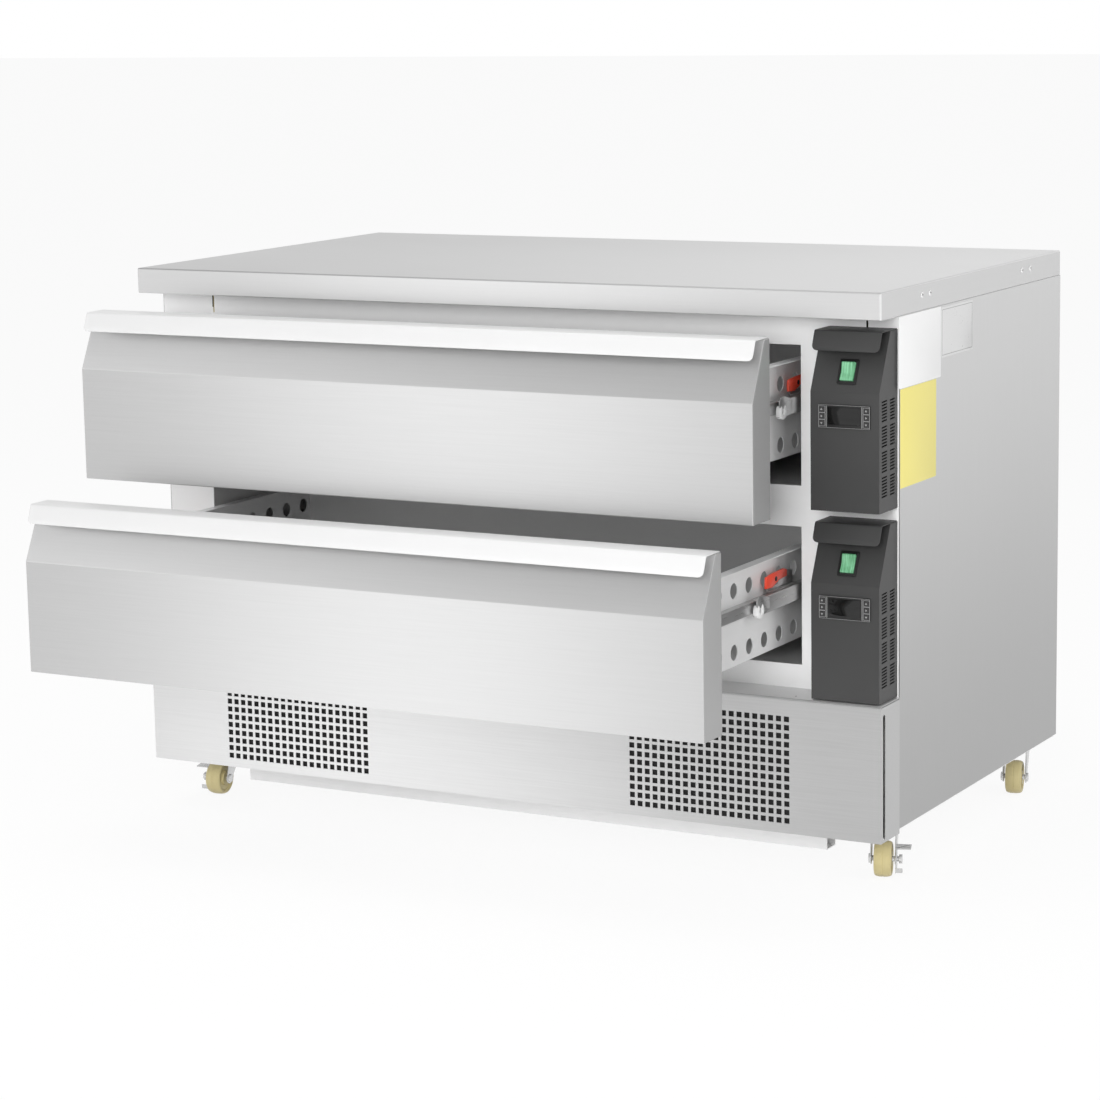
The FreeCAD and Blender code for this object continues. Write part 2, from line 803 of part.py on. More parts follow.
def on_slope(item, level, across, along, out):
    """Place an item in the switch's own frame: across, up along the slope and
    out of it."""
    x = control_x + across
    y = switch_back + along * math.sin(lean) - out * math.cos(lean)
    z = box_foot[level] + switch_up + along * math.cos(lean) + out * math.sin(lean)
    return place(item, x, y, z, axis=(1, 0, 0), angle=90 - slope_angle)


def slope_block(name, level, corner, extent):
    """A block in the switch's own frame."""
    item = doc.addObject("Part::Box", name)
    for field, length in zip(("Length", "Width", "Height"), extent):
        bind(item, field, length)
    return on_slope(item, level, *corner)


for level, up in box_foot.items():
    face, hollow = folded_case(f"{level}_control", control_left, front_gap, up, control_width, control_depth)
    switch_hole = slope_block(
        f"{level}_switch_hole",
        level,
        (-bezel_width / 2 + hole_margin, (-bezel_length / 2 + hole_margin).number, -8.0),
        (bezel_width - 2 * hole_margin, bezel_length - 2 * hole_margin, Size(16)),
    )
    controller_hole = block(
        f"{level}_controller_hole",
        (
            control_x - controller_width / 2 + hole_margin,
            front_gap - skin,
            up + controller_rise - controller_height / 2 + hole_margin,
        ),
        (controller_width - 2 * hole_margin, 3 * skin, controller_height - 2 * hole_margin),
    )
    slots = [
        block(
            f"{level}_side_slot_{column}_{row}",
            (control_left + control_width - 2 * skin, front_gap + 8 + 26 * column, up + 24 + 44 * row),
            (3 * skin, Size(22), Size(26)),
        )
        for column in range(2)
        for row in range(slot_rows)
    ]
    shell = cut(f"{level}_control_shell", face, [hollow, switch_hole, controller_hole] + slots)
    hood_length = control_width - 2 * lip_inset
    hood = lip(
        f"{level}_hood", control_left + lip_inset, front_gap, up + front_height, hood_length, control_depth
    )
    control_boxes.append(fuse(f"{level}_control_box", [shell, hood]))
node("control_boxes", group("control_box_pair", control_boxes))

# Rocker switches: a black frame clipped into the slope and a green rocker that
# tips about a cross pin moulded on it.
rocker_half = 10.2
rocker_reach = 12.2
frame_wall = 3.4
rocker_tilt = 7.0
bezels = []
for level in box_foot:
    flange = slope_block(
        f"{level}_bezel_flange",
        level,
        (-bezel_width / 2, (-bezel_length / 2).number, 0.0),
        (bezel_width, bezel_length, Size(2)),
    )
    barrel = slope_block(
        f"{level}_bezel_barrel",
        level,
        (-bezel_width / 2 + hole_margin, (-bezel_length / 2 + hole_margin).number, -18.0),
        (bezel_width - 2 * hole_margin, bezel_length - 2 * hole_margin, Size(18)),
    )
    well = slope_block(
        f"{level}_bezel_well",
        level,
        (Size(-rocker_half - 0.5), -rocker_reach - 1.3, -14.0),
        (Size(2 * rocker_half + 1), Size(2 * rocker_reach + 2.6), Size(17)),
    )
    bezels.append(cut(f"{level}_bezel", fuse(f"{level}_bezel_block", [flange, barrel]), [well]))
    rocker = pad(
        f"{level}_rocker_body",
        "YZ_Plane",
        [
            (-rocker_reach, -5),
            (rocker_reach, -5),
            (rocker_reach, 3.6),
            (0, 2.2),
            (-rocker_reach, 3.6),
        ],
        Size(2 * rocker_half),
    )
    on_slope(rocker, level, Size(-rocker_half), 0.0, 0.0)
    rocker.Placement = FreeCAD.Placement(
        rocker.Placement.Base, FreeCAD.Rotation(vector(1, 0, 0), 90 - slope_angle - rocker_tilt)
    )
    node(f"{level}_rocker", rocker)
node("switch_bezels", group("bezel_pair", bezels))

# Thermostats: a clip-in housing with a window in the middle and three sprung keys
# in pockets on each side of it.
key_reach = 33.0
key_play = 0.3
face_out = 3.0
key_proud = 0.8
housings = []
for level, up in box_foot.items():
    centre = up + controller_rise
    frame_plate = block(
        f"{level}_controller_plate",
        (control_x - controller_width / 2, front_gap - face_out, centre - controller_height / 2),
        (controller_width, Size(face_out), controller_height),
    )
    housing = block(
        f"{level}_controller_housing",
        (
            control_x - controller_width / 2 + hole_margin,
            front_gap,
            centre - controller_height / 2 + hole_margin,
        ),
        (controller_width - 2 * hole_margin, Size(44), controller_height - 2 * hole_margin),
    )
    window = block(
        f"{level}_window",
        (control_x - 24, front_gap - face_out - 1, centre - 12.5),
        (Size(48), Size(1.8), Size(25)),
    )
    pockets = []
    for side, sign in (("left", -1), ("right", 1)):
        for row, place_name in enumerate(("bottom", "middle", "top")):
            key_x = control_x + sign * key_reach - key_width / 2
            key_z = centre + (row - 1) * key_pitch - key_height / 2
            pockets.append(
                block(
                    f"{level}_{side}_{place_name}_pocket",
                    (key_x - key_play, front_gap - face_out - 1, key_z - key_play),
                    (key_width + 2 * key_play, Size(6), key_height + 2 * key_play),
                )
            )
            key = block(
                f"{level}_{side}_{place_name}_cap",
                (key_x, front_gap - face_out - key_proud, key_z),
                (key_width, Size(3.2), key_height),
            )
            node(f"{level}_{side}_{place_name}_key", key)
    housings.append(
        cut(f"{level}_controller", fuse(f"{level}_controller_block", [frame_plate, housing]), [window] + pockets),
    )
node("controllers", group("controller_pair", housings))


# Drawer slides: three nested folded members a side. The cabinet rail is fixed to
# the liner, the middle rail runs half as far as the drawer, and the drawer rail
# is fixed to the basket. Widths are measured from the liner's wall.
outer_reach = 14.5
middle_near = 4.5
middle_far = 16.5
inner_near = 12.0
bracket_near = 15.5
bracket_far = 17.0
lever_near = 11.5
lever_far = 15.2
pin_radius = 2.0
hook_reach = 11.0
hook_eye = 5.0
hook_sides = 7


def rail_x(side, near, far):
    """Lowest X and width of a member that lies between two distances from the
    liner's left or right wall."""
    if side == "left":
        return opening_left + near, far - near
    return opening_right - far, far - near


def rail_block(name, side, near, far, y, length, z, height):
    """A flat member of a slide."""
    x, thickness = rail_x(side, near, far)
    thickness = thickness if isinstance(thickness, Size) else Size(thickness)
    return block(name, (x, y, z), (thickness, length, height))


def fixed_rail(level, side, up):
    """The cabinet rail with the bracket that carries its front end."""
    z = up + rail_rise
    tag = f"{level}_{side}_cabinet_rail"
    length = rail_back - rail_front
    web = rail_block(f"{tag}_web", side, 0, skin, rail_front, length, z - outer_half, 2 * outer_half)
    upper = rail_block(f"{tag}_upper", side, 0, outer_reach, rail_front, length, z + outer_half - skin, skin)
    lower = rail_block(f"{tag}_lower", side, 0, outer_reach, rail_front, length, z - outer_half, skin)
    bracket = rail_block(
        f"{tag}_bracket", side, 0, skin, ledge + 6, rail_front - ledge + 14, z - 20, Size(56)
    )
    return fuse(tag, [web, upper, lower, bracket])


def middle_rail(level, side, up, back):
    """The middle rail with the hook at its front end and the bracket and pin that
    carry the release lever."""
    z = up + rail_rise
    tag = f"{level}_{side}_middle_rail"
    start = middle_front - back
    length = rail_back - middle_front
    web = rail_block(f"{tag}_web", side, 9, 10.5, start, length, z - middle_half, 2 * middle_half)
    upper = rail_block(
        f"{tag}_upper", side, middle_near, middle_far, start, length, z + middle_half - skin, skin
    )
    lower = rail_block(f"{tag}_lower", side, middle_near, middle_far, start, length, z - middle_half, skin)
    bracket = rail_block(
        f"{tag}_bracket", side, bracket_near, bracket_far, start + 38, Size(84), z + middle_half - skin, Size(
            24
        )
    )
    hook_x, hook_width = rail_x(side, 4.5, 9.5)
    turns = [math.radians(120 + 300 * step / hook_sides) for step in range(hook_sides + 1)]
    rim = [(hook_reach * math.cos(turn), hook_reach * math.sin(turn)) for turn in turns]
    eye = [(hook_eye * math.cos(turn), hook_eye * math.sin(turn)) for turn in reversed(turns)]
    hook = pad(f"{tag}_hook", "YZ_Plane", rim + eye, Size(hook_width))
    place(hook, hook_x, start + 30, z - 7)
    pin_x, pin_length = rail_x(side, 10.5, bracket_far)
    pin = rod(f"{tag}_pin", (pin_x, start + 108, z + 26), Size(pin_radius), Size(pin_length), axis="x")
    return fuse(tag, [web, upper, lower, bracket, hook, pin])


def lever(level, side, up, back):
    """The red release lever: a moulded plate with a finger step at the front and
    a boss round its pin at the back."""
    z = up + rail_rise
    start = middle_front - back
    x, thickness = rail_x(side, lever_near, lever_far)
    tag = f"{level}_{side}_lever"
    plate = pad(
        f"{tag}_plate",
        "YZ_Plane",
        [
            (0, 0),
            (26, 0),
            (34, 4),
            (62, 4),
            (69, 7),
            (66, 14),
            (40, 17),
            (16, 21),
            (4, 21),
            (0, 17),
        ],
        Size(thickness),
    )
    place(plate, x, start + 46, z + 17.5)
    bore = rod(
        f"{tag}_bore", (x - 1, start + 108, z + 26), Size(pin_radius) + running, Size(thickness + 2), axis="x"
    )
    node(f"{level}_{side}_latch", cut(tag, plate, [bore]))


fixed_rails = []
levels = (
    ("upper", upper_front, upper_opening, upper_open),
    ("lower", lower_front, lower_opening, lower_open),
)
for level, up, opening, pulled in levels:
    middle_members = []
    drawer_members = []
    for side in ("left", "right"):
        fixed_rails.append(fixed_rail(level, side, up))
        middle_members.append(middle_rail(level, side, up, pulled / 2))
        lever(level, side, up, pulled / 2)
        tag = f"{level}_{side}_drawer_rail"
        start = front_gap + front_depth - pulled
        length = basket_depth
        z = up + rail_rise
        web = rail_block(
            f"{tag}_web", side, rail_space - skin, rail_space, start, length, z - inner_half, 2 * inner_half
        )
        upper = rail_block(
            f"{tag}_upper", side, inner_near, rail_space, start, length, z + inner_half - skin, skin
        )
        lower = rail_block(f"{tag}_lower", side, inner_near, rail_space, start, length, z - inner_half, skin)
        drawer_members.append(fuse(tag, [web, upper, lower]))
    node(f"{level}_middle_rails", group(f"{level}_middle_pair", middle_members))
    node(f"{level}_drawer_rails", group(f"{level}_drawer_pair", drawer_members))
node("cabinet_rails", group("cabinet_rail_set", fixed_rails))

# Drawers: a folded front with its handle strip, a magnetic seal, and an open
# basket with perforated walls welded to the plate that closes the front's back.
hole_count = 9
hole_sides = 6
basket_left = opening_left + rail_space
basket_width = opening_width - 2 * rail_space


def perforated_wall(name, x, y, z):
    """A basket side wall: a padded sheet with two rows of round air holes, cut as
    one pocket and its linear pattern."""
    body = doc.addObject("PartDesign::Body", name)
    sheet_sketch = new_sketch(body, "YZ_Plane", f"{name}_outline")
    outline(sheet_sketch, [(0, 0), (basket_depth, 0), (basket_depth, basket_height), (0, basket_height)])
    sheet_pad = body.newObject("PartDesign::Pad", f"{name}_pad")
    sheet_pad.Profile = sheet_sketch
    bind(sheet_pad, "Length", skin)
    doc.recompute()
    hole_sketch = new_sketch(body, "YZ_Plane", f"{name}_holes")
    for row, rise in enumerate((lower_hole_row, upper_hole_row)):
        ring = []
        for number in range(hole_sides):
            angle = 2 * math.pi * (number + 0.5) / hole_sides
            ring.append((first_hole + hole_radius * math.cos(angle), rise + hole_radius * math.sin(angle)))
        outline(hole_sketch, ring, tag=f"r{row}e")
    pocket = body.newObject("PartDesign::Pocket", f"{name}_pocket")
    pocket.Profile = hole_sketch
    pocket.Type = 1
    pocket.Midplane = True
    doc.recompute()
    pattern = body.newObject("PartDesign::LinearPattern", f"{name}_pattern")
    pattern.Originals = [pocket]
    pattern.Direction = (hole_sketch, ["H_Axis"])
    bind(pattern, "Length", hole_pitch * (hole_count - 1))
    pattern.Occurrences = hole_count
    body.Tip = pattern
    doc.recompute()
    hole_area = hole_sides / 2 * hole_radius.number ** 2 * math.sin(2 * math.pi / hole_sides)
    loss = sheet_pad.Shape.Volume - pattern.Shape.Volume
    if abs(loss - 2 * hole_count * hole_area * skin.number) > 1:
        raise ValueError(f"the air holes of {name} aren't all cut")
    return place(body, x, y, z)


for level, up, opening, pulled in levels:
    face_y = front_gap - pulled
    back_y = face_y + front_depth
    face, hollow = folded_case(f"{level}_drawer", Size(0), face_y, up, drawer_width, front_depth)
    node(f"{level}_drawer_front", cut(f"{level}_drawer_case", face, [hollow]))

    strip_length = drawer_width - 2 * lip_inset
    strip = lip(f"{level}_handle", lip_inset, face_y, up + front_height, strip_length, front_depth)
    node(f"{level}_drawer_handle", strip)

    seal_inner = 1
    seal_outer = gasket_width + seal_inner
    ring = block(
        f"{level}_seal_ring",
        (opening_left - seal_outer, back_y, opening - seal_outer),
        (opening_width + 2 * seal_outer, gasket_depth, opening_height + 2 * seal_outer),
    )
    ring_space = block(
        f"{level}_seal_space",
        (opening_left - seal_inner, back_y - 1, opening - seal_inner),
        (opening_width + 2 * seal_inner, gasket_depth + 2, opening_height + 2 * seal_inner),
    )
    node(f"{level}_drawer_gasket", cut(f"{level}_seal", ring, [ring_space]))

    plate_play = skin + 0.3
    base = up + basket_rise
    rim = base + basket_height
    right_wall = basket_left + basket_width - skin
    backing = block(
        f"{level}_backing_plate",
        (plate_play, back_y - skin, up + plate_play),
        (drawer_width - 2 * plate_play, skin, front_height - 2 * plate_play),
    )
    walls = [
        perforated_wall(f"{level}_left_wall", basket_left, back_y, base),
        perforated_wall(f"{level}_right_wall", right_wall, back_y, base),
    ]
    back_wall = block(
        f"{level}_back_wall", (basket_left, back_y + basket_depth - skin, base), (
            basket_width, skin, basket_height
        )
    )
    flanges = []
    for side, out, inward in (
        ("left", basket_left - basket_flange, basket_left),
        ("right", right_wall, right_wall + skin - basket_flange),
    ):
        flanges.append(
            block(
                f"{level}_{side}_top_flange",
                (out, back_y, rim - skin),
                (basket_flange + skin, basket_depth, skin),
            )
        )
        flanges.append(
            block(f"{level}_{side}_foot_flange", (inward, back_y, base), (basket_flange, basket_depth, skin))
        )
    back_foot = block(
        f"{level}_back_foot_flange",
        (basket_left, back_y + basket_depth - basket_flange, base),
        (basket_width, basket_flange, skin),
    )
    node(
        f"{level}_drawer_basket",
        fuse(f"{level}_basket", [backing, back_wall, back_foot] + walls + flanges),
    )

# Casters: a top plate with the bearing race and king pin, a stamped fork with the
# axle bolt and its nuts, a barrel-shaped nylon wheel and, in front, a brake lever
# on the axle's outer end. Each is built round its swivel axis, with the mounting
# face at zero height and the wheel trailing forwards.
plate_side = 54
plate_thickness = 2.5
race_radius = 17
race_sides = 16
wheel_sides = 36
race_foot = 9.5
fork_top = 9.8
fork_sheet = 2.0
fork_half = 15.0
bridge_half = fork_half + fork_sheet
head_gap = 0.3
head_height = 3
king_radius = 4.0
axle_radius = 4.0
axle_drop = caster_height - wheel_radius
nut_height = 4.0
lever_gap = 0.3
tab_length = 20
caster_corners = (
    ("front_left", caster_inset, front_caster, 5.0, -1),
    ("front_right", width - caster_inset, front_caster, 18.0, 1),
    ("rear_left", caster_inset, rear_caster, 10.0, 0),
    ("rear_right", width - caster_inset, rear_caster, 14.0, 0),
)


def local(kind, name, corner, sizes, turn=(0, 0, 1, 0)):
    """A primitive in a caster's own frame, from its start point and its sizes."""
    item = doc.addObject(f"Part::{kind}", name)
    for field, length in sizes.items():
        bind(item, field, length)
    item.Placement = FreeCAD.Placement(vector(), FreeCAD.Rotation(vector(*turn[:3]), turn[3]))
    for field, length in zip("xyz", corner):
        bind(item, f"Placement.Base.{field}", length)
    return item


def local_block(name, corner, extent):
    """A block in a caster's own frame."""
    return local("Box", name, corner, dict(zip(("Length", "Width", "Height"), extent)))


def local_rod(name, start, radius, length, across=False):
    """An upright rod in a caster's own frame, or one along the axle."""
    turn = (0, 1, 0, 90) if across else (0, 0, 1, 0)
    return local("Cylinder", name, start, {"Radius": radius, "Height": length}, turn)


def hexagon(name, start, radius, height, across=False):
    """A nut or a bolt head in a caster's own frame."""
    turn = (0, 1, 0, 90) if across else (0, 0, 1, 0)
    return local("Prism", name, start, {"Circumradius": radius, "Height": height}, turn)


def caster_plate(corner):
    """The top plate with its bearing race, king pin and pin head."""
    head_foot = fork_top + fork_sheet + head_gap
    sheet_corner = (-plate_side / 2, -plate_side / 2, -plate_thickness)
    race_ring = hexagon(f"{corner}_race", (0, 0, -race_foot), race_radius, race_foot - plate_thickness)
    race_ring.Polygon = race_sides
    parts = [
        local_block(f"{corner}_plate_sheet", sheet_corner, (plate_side, plate_side, plate_thickness)),
        race_ring,
        local_rod(f"{corner}_king_pin", (0, 0, -head_foot), king_radius, head_foot - race_foot),
        hexagon(f"{corner}_pin_head", (0, 0, -head_foot - head_height), 7, head_height),
    ]
    return fuse(f"{corner}_plate", parts)


def caster_fork(corner, lever_side):
    """The fork: a bridge under the race, two tapered legs, the axle and its nuts."""
    bridge_corner = (-bridge_half, -18, -fork_top - fork_sheet)
    parts = [local_block(f"{corner}_bridge", bridge_corner, (2 * bridge_half, 36, fork_sheet))]
    for side, across in (("left", -bridge_half), ("right", fork_half)):
        leg = pad(
            f"{corner}_{side}_leg",
            "YZ_Plane",
            [
                (-18, -fork_top - fork_sheet),
                (-(trail + 9), -axle_drop - 3),
                (-(trail + 4), -axle_drop - 9),
                (-(trail - 4), -axle_drop - 9),
                (-(trail - 9), -axle_drop - 3),
                (18, -fork_top - fork_sheet - 8),
                (18, -fork_top),
                (-18, -fork_top),
            ],
            fork_sheet,
        )
        leg.Placement = FreeCAD.Placement(vector(across, 0, 0), FreeCAD.Rotation())
        parts.append(leg)
    reach = bridge_half + 2 * lever_gap + fork_sheet
    axle_start = -reach if lever_side < 0 else -bridge_half
    axle_end = reach if lever_side > 0 else bridge_half
    axle_spot = (axle_start, -trail, -axle_drop)
    parts.append(local_rod(f"{corner}_axle", axle_spot, axle_radius, axle_end - axle_start, across=True))
    for number, across in enumerate((axle_start - nut_height, axle_end)):
        parts.append(
            hexagon(f"{corner}_nut_{number}", (across, -trail, -axle_drop), 7, nut_height, across=True)
        )
    eye_foot = -fork_top - fork_sheet - 1
    eye = local_rod(f"{corner}_fork_eye", (0, 0, eye_foot), king_radius + running, fork_sheet + 2)
    return cut(f"{corner}_fork_shape", fuse(f"{corner}_fork_parts", parts), [eye])


def caster_wheel(corner):
    """The wheel: a many-sided nylon roller with a round bore for its axle."""
    half = wheel_width / 2
    tread = hexagon(f"{corner}_tread", (-half, -trail, -axle_drop), wheel_radius, wheel_width, across=True)
    tread.Polygon = wheel_sides
    bore_start = (-half - 1, -trail, -axle_drop)
    bore = local_rod(f"{corner}_wheel_bore", bore_start, axle_radius + running, wheel_width + 2, across=True)
    return cut(f"{corner}_wheel_shape", tread, [bore])


def brake_lever(corner, lever_side):
    """The brake lever: a stamped plate that rocks on the axle's outer end, with a
    foot tab turned out at each end."""
    near = bridge_half + lever_gap
    plate_x = near if lever_side > 0 else -near - fork_sheet
    tab_x = near if lever_side > 0 else -near - tab_length
    plate = pad(
        f"{corner}_lever_plate",
        "YZ_Plane",
        [
            (-trail - 10, -72),
            (-trail - 1, -72),
            (-trail + 8, -axle_drop - 4),
            (-trail + 12, -34),
            (-trail + 2, -34),
            (-trail - 8, -axle_drop + 4),
        ],
        fork_sheet,
    )
    plate.Placement = FreeCAD.Placement(vector(plate_x, 0, 0), FreeCAD.Rotation())
    foot_tab = local_block(f"{corner}_foot_tab", (tab_x, -trail - 10, -72), (tab_length, 9, fork_sheet))
    top_tab = local_block(f"{corner}_top_tab", (tab_x, -trail + 2, -34), (tab_length, 14, fork_sheet))
    eye_start = (plate_x - 1, -trail, -axle_drop)
    eye = local_rod(f"{corner}_lever_eye", eye_start, axle_radius + running, fork_sheet + 2, across=True)
    return cut(f"{corner}_lever_shape", fuse(f"{corner}_lever_parts", [plate, foot_tab, top_tab]), [eye])


plates = []
for corner, x, y, angle, lever_side in caster_corners:
    plates.append(place(caster_plate(corner), x, y, pan_gap))
    node(f"{corner}_fork", place(caster_fork(corner, lever_side), x, y, pan_gap, angle=angle))
    node(f"{corner}_wheel", place(caster_wheel(corner), x, y, pan_gap, angle=angle))
    if lever_side:
        lever_item = brake_lever(corner, lever_side)
        node(f"{corner}_brake_lever", place(lever_item, x, y, pan_gap, angle=angle))
node("caster_plates", group("caster_plate_set", plates))

doc.recompute()

# Every object must have computed, and every sub-part must be a sound solid.
failed = [item.Label for item in doc.Objects if "Invalid" in item.State or "Error" in item.State]
if failed:
    raise ValueError(f"these objects failed: {failed}")
facets = 0
os.makedirs("parts", exist_ok=True)
for label, item in nodes.items():
    shape = item.Shape
    if shape.isNull() or not shape.isValid() or not shape.Solids:
        raise ValueError(f"{label} has no valid solid")
    facets += len(shape.copy().tessellate(0.3)[1])
for label, item in nodes.items():
    item.Shape.exportStep(os.path.join("parts", f"{label}.step"))
print(len(nodes), "nodes,", facets, "facets")
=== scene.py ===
import math

import bmesh
import bpy
import numpy as np
from mathutils import Matrix, Vector


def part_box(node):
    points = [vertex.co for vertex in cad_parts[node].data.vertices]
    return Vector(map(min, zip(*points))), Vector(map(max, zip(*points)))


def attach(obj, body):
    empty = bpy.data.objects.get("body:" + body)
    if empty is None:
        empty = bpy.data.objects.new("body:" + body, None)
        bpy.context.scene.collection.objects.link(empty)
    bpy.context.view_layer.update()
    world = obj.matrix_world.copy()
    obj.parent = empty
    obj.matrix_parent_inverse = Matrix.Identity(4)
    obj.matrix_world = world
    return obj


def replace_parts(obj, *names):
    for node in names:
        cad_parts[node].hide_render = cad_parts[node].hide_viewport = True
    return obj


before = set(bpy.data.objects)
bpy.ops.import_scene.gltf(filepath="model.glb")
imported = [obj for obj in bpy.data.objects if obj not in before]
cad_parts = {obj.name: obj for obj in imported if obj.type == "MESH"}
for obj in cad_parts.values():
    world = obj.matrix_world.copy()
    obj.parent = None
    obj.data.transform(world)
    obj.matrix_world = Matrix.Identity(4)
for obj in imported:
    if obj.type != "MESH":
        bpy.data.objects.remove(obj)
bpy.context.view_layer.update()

# The worktop is one tray of brushed stainless sheet. Its top and its four edges
# are folded from a single blank, and the corners are welded and dressed.
X, Y, Z = np.eye(3)
along_x, along_y, along_z = (0.02, 1, 1), (1, 0.02, 1), (1, 1, 0.02)
brush_fineness = 420
gloss_spread, least_gloss = 0.07, 0.02
bump_depth = 0.0004
cloud_in_band = 0.15
wave_radians = 20


def colour(red, green, blue):
    """The linear light of a colour written as it is seen, 0 to 255 in each part."""
    seen = np.array([red, green, blue]) / 255
    light = np.where(seen <= 0.04045, seen / 12.92, ((seen + 0.055) / 1.055) ** 2.4)
    return (*light.tolist(), 1.0)


def grey(level):
    """A neutral colour, 0 to 255 as seen."""
    return colour(level, level, level)


def finish(
    name, dark, light, grain=(1, 1, 1), fineness=500, gloss=0.4, metal=0.0, relief=0.05, cloud=3.0,
    band=None, streak=0.2,
):
    """A surface finish. A fine noise, stretched along the grain, moves the roughness
    and a shallow bump, and a broad noise moves the colour between dark and light.
    With a sheen band (axis, where it is darkest, length to the lightest), a slow sine
    across the piece takes most of the broad noise's place: a painted reflection, darkest
    at one place and lightest a length away. The streak is the fine noise's share of the colour."""
    material = bpy.data.materials.new(name)
    material.use_nodes = True
    tree = material.node_tree
    shader = tree.nodes["Principled BSDF"]
    new, link = tree.nodes.new, tree.links.new
    shader.inputs["Metallic"].default_value = metal
    spot = new("ShaderNodeTexCoord")
    stretch = new("ShaderNodeMapping")
    stretch.inputs["Scale"].default_value = grain
    fine = new("ShaderNodeTexNoise")
    fine.inputs["Scale"].default_value = fineness
    fine.inputs["Detail"].default_value = 3
    broad = new("ShaderNodeTexNoise")
    broad.inputs["Scale"].default_value = cloud
    broad.inputs["Detail"].default_value = 2
    blend = new("ShaderNodeMath")
    blend.operation = "MULTIPLY_ADD"
    blend.inputs[1].default_value = streak
    blend.inputs[2].default_value = -streak / 2
    tint = new("ShaderNodeMix")
    tint.data_type = "RGBA"
    tint.inputs["A"].default_value = dark
    tint.inputs["B"].default_value = light
    polish = new("ShaderNodeMapRange")
    polish.inputs["To Min"].default_value = max(gloss - gloss_spread, least_gloss)
    polish.inputs["To Max"].default_value = min(gloss + gloss_spread, 1.0)
    bump = new("ShaderNodeBump")
    bump.inputs["Strength"].default_value = relief
    bump.inputs["Distance"].default_value = bump_depth
    link(spot.outputs["Object"], stretch.inputs["Vector"])
    link(spot.outputs["Object"], broad.inputs["Vector"])
    link(stretch.outputs["Vector"], fine.inputs["Vector"])
    ground = broad.outputs["Fac"]
    if band:
        axis, darkest, length = band
        wave = new("ShaderNodeTexWave")
        wave.bands_direction = axis
        wave.inputs["Scale"].default_value = math.pi / wave_radians / length
        wave.inputs["Phase Offset"].default_value = -darkest * math.pi / length
        link(spot.outputs["Object"], wave.inputs["Vector"])
        ease = new("ShaderNodeMix")
        ease.inputs["Factor"].default_value = cloud_in_band
        link(wave.outputs["Fac"], ease.inputs["A"])
        link(broad.outputs["Fac"], ease.inputs["B"])
        ground = ease.outputs["Result"]
    total = new("ShaderNodeMath")
    link(fine.outputs["Fac"], blend.inputs[0])
    link(ground, total.inputs[0])
    link(blend.outputs["Value"], total.inputs[1])
    link(total.outputs["Value"], tint.inputs["Factor"])
    link(tint.outputs["Result"], shader.inputs["Base Color"])
    link(fine.outputs["Fac"], polish.inputs["Value"])
    link(polish.outputs["Result"], shader.inputs["Roughness"])
    link(fine.outputs["Fac"], bump.inputs["Height"])
    link(bump.outputs["Normal"], shader.inputs["Normal"])
    return material


def brushed(name, dark, light, grain=along_x, **look):
    """Brushed steel between two greys, its fine noise drawn out along the grain."""
    return finish(name, grey(dark), grey(light), grain, brush_fineness, **look)


def quads(rows, columns, around=False):
    """The four-cornered faces between neighbouring points of a grid. With around,
    the last column joins the first."""
    index = np.arange(rows * columns).reshape(rows, columns)
    if around:
        index = np.hstack([index, index[:, :1]])
    corners = [index[:-1, :-1], index[:-1, 1:], index[1:, 1:], index[1:, :-1]]
    return np.stack(corners, axis=-1).reshape(-1, 4).tolist()


def rings(centre, across, up, out, table, steps=5, closed=False):
    """A shell of rounded rectangles. Each row of the table is half width, half height,
    corner radius and rise. A ring's point is the centre of its corner plus
    radius·(cos a, sin a), lifted by the rise, with a running once round. The ends
    are capped, or closed joins the last ring to the first."""
    half_width, half_height, radius, rise = (column[:, None] for column in np.array(table, float).T)
    quarter = np.linspace(0, math.pi / 2, steps + 1)
    angle = np.concatenate([quarter + math.pi / 2 * turn for turn in range(4)])
    side = np.repeat([1, -1, -1, 1], steps + 1)
    level = np.repeat([1, 1, -1, -1], steps + 1)
    along = side * (half_width - radius) + radius * np.cos(angle)
    above = level * (half_height - radius) + radius * np.sin(angle)
    points = (
        np.array(centre)
        + along[..., None] * across
        + above[..., None] * up
        + np.broadcast_to(rise, along.shape)[..., None] * out
    )
    rows, columns = along.shape
    faces = quads(rows, columns, around=True)
    if closed:
        first = np.arange(columns)
        last = first + (rows - 1) * columns
        seam = [last, np.roll(last, -1), np.roll(first, -1), first]
        faces += np.stack(seam, axis=-1).tolist()
    else:
        last = [(rows - 1) * columns + number for number in range(columns)]
        faces += [list(range(columns))[::-1], last]
    return points.reshape(-1, 3), faces


def joined(*shells):
    """Several shells as one: each shell's face numbers move on by the points before it."""
    starts = np.cumsum([0] + [len(points) for points, _ in shells[:-1]])
    faces = []
    for start, (_, some) in zip(starts, shells):
        faces += [[int(start + corner) for corner in face] for face in some]
    return np.concatenate([points for points, _ in shells]), faces


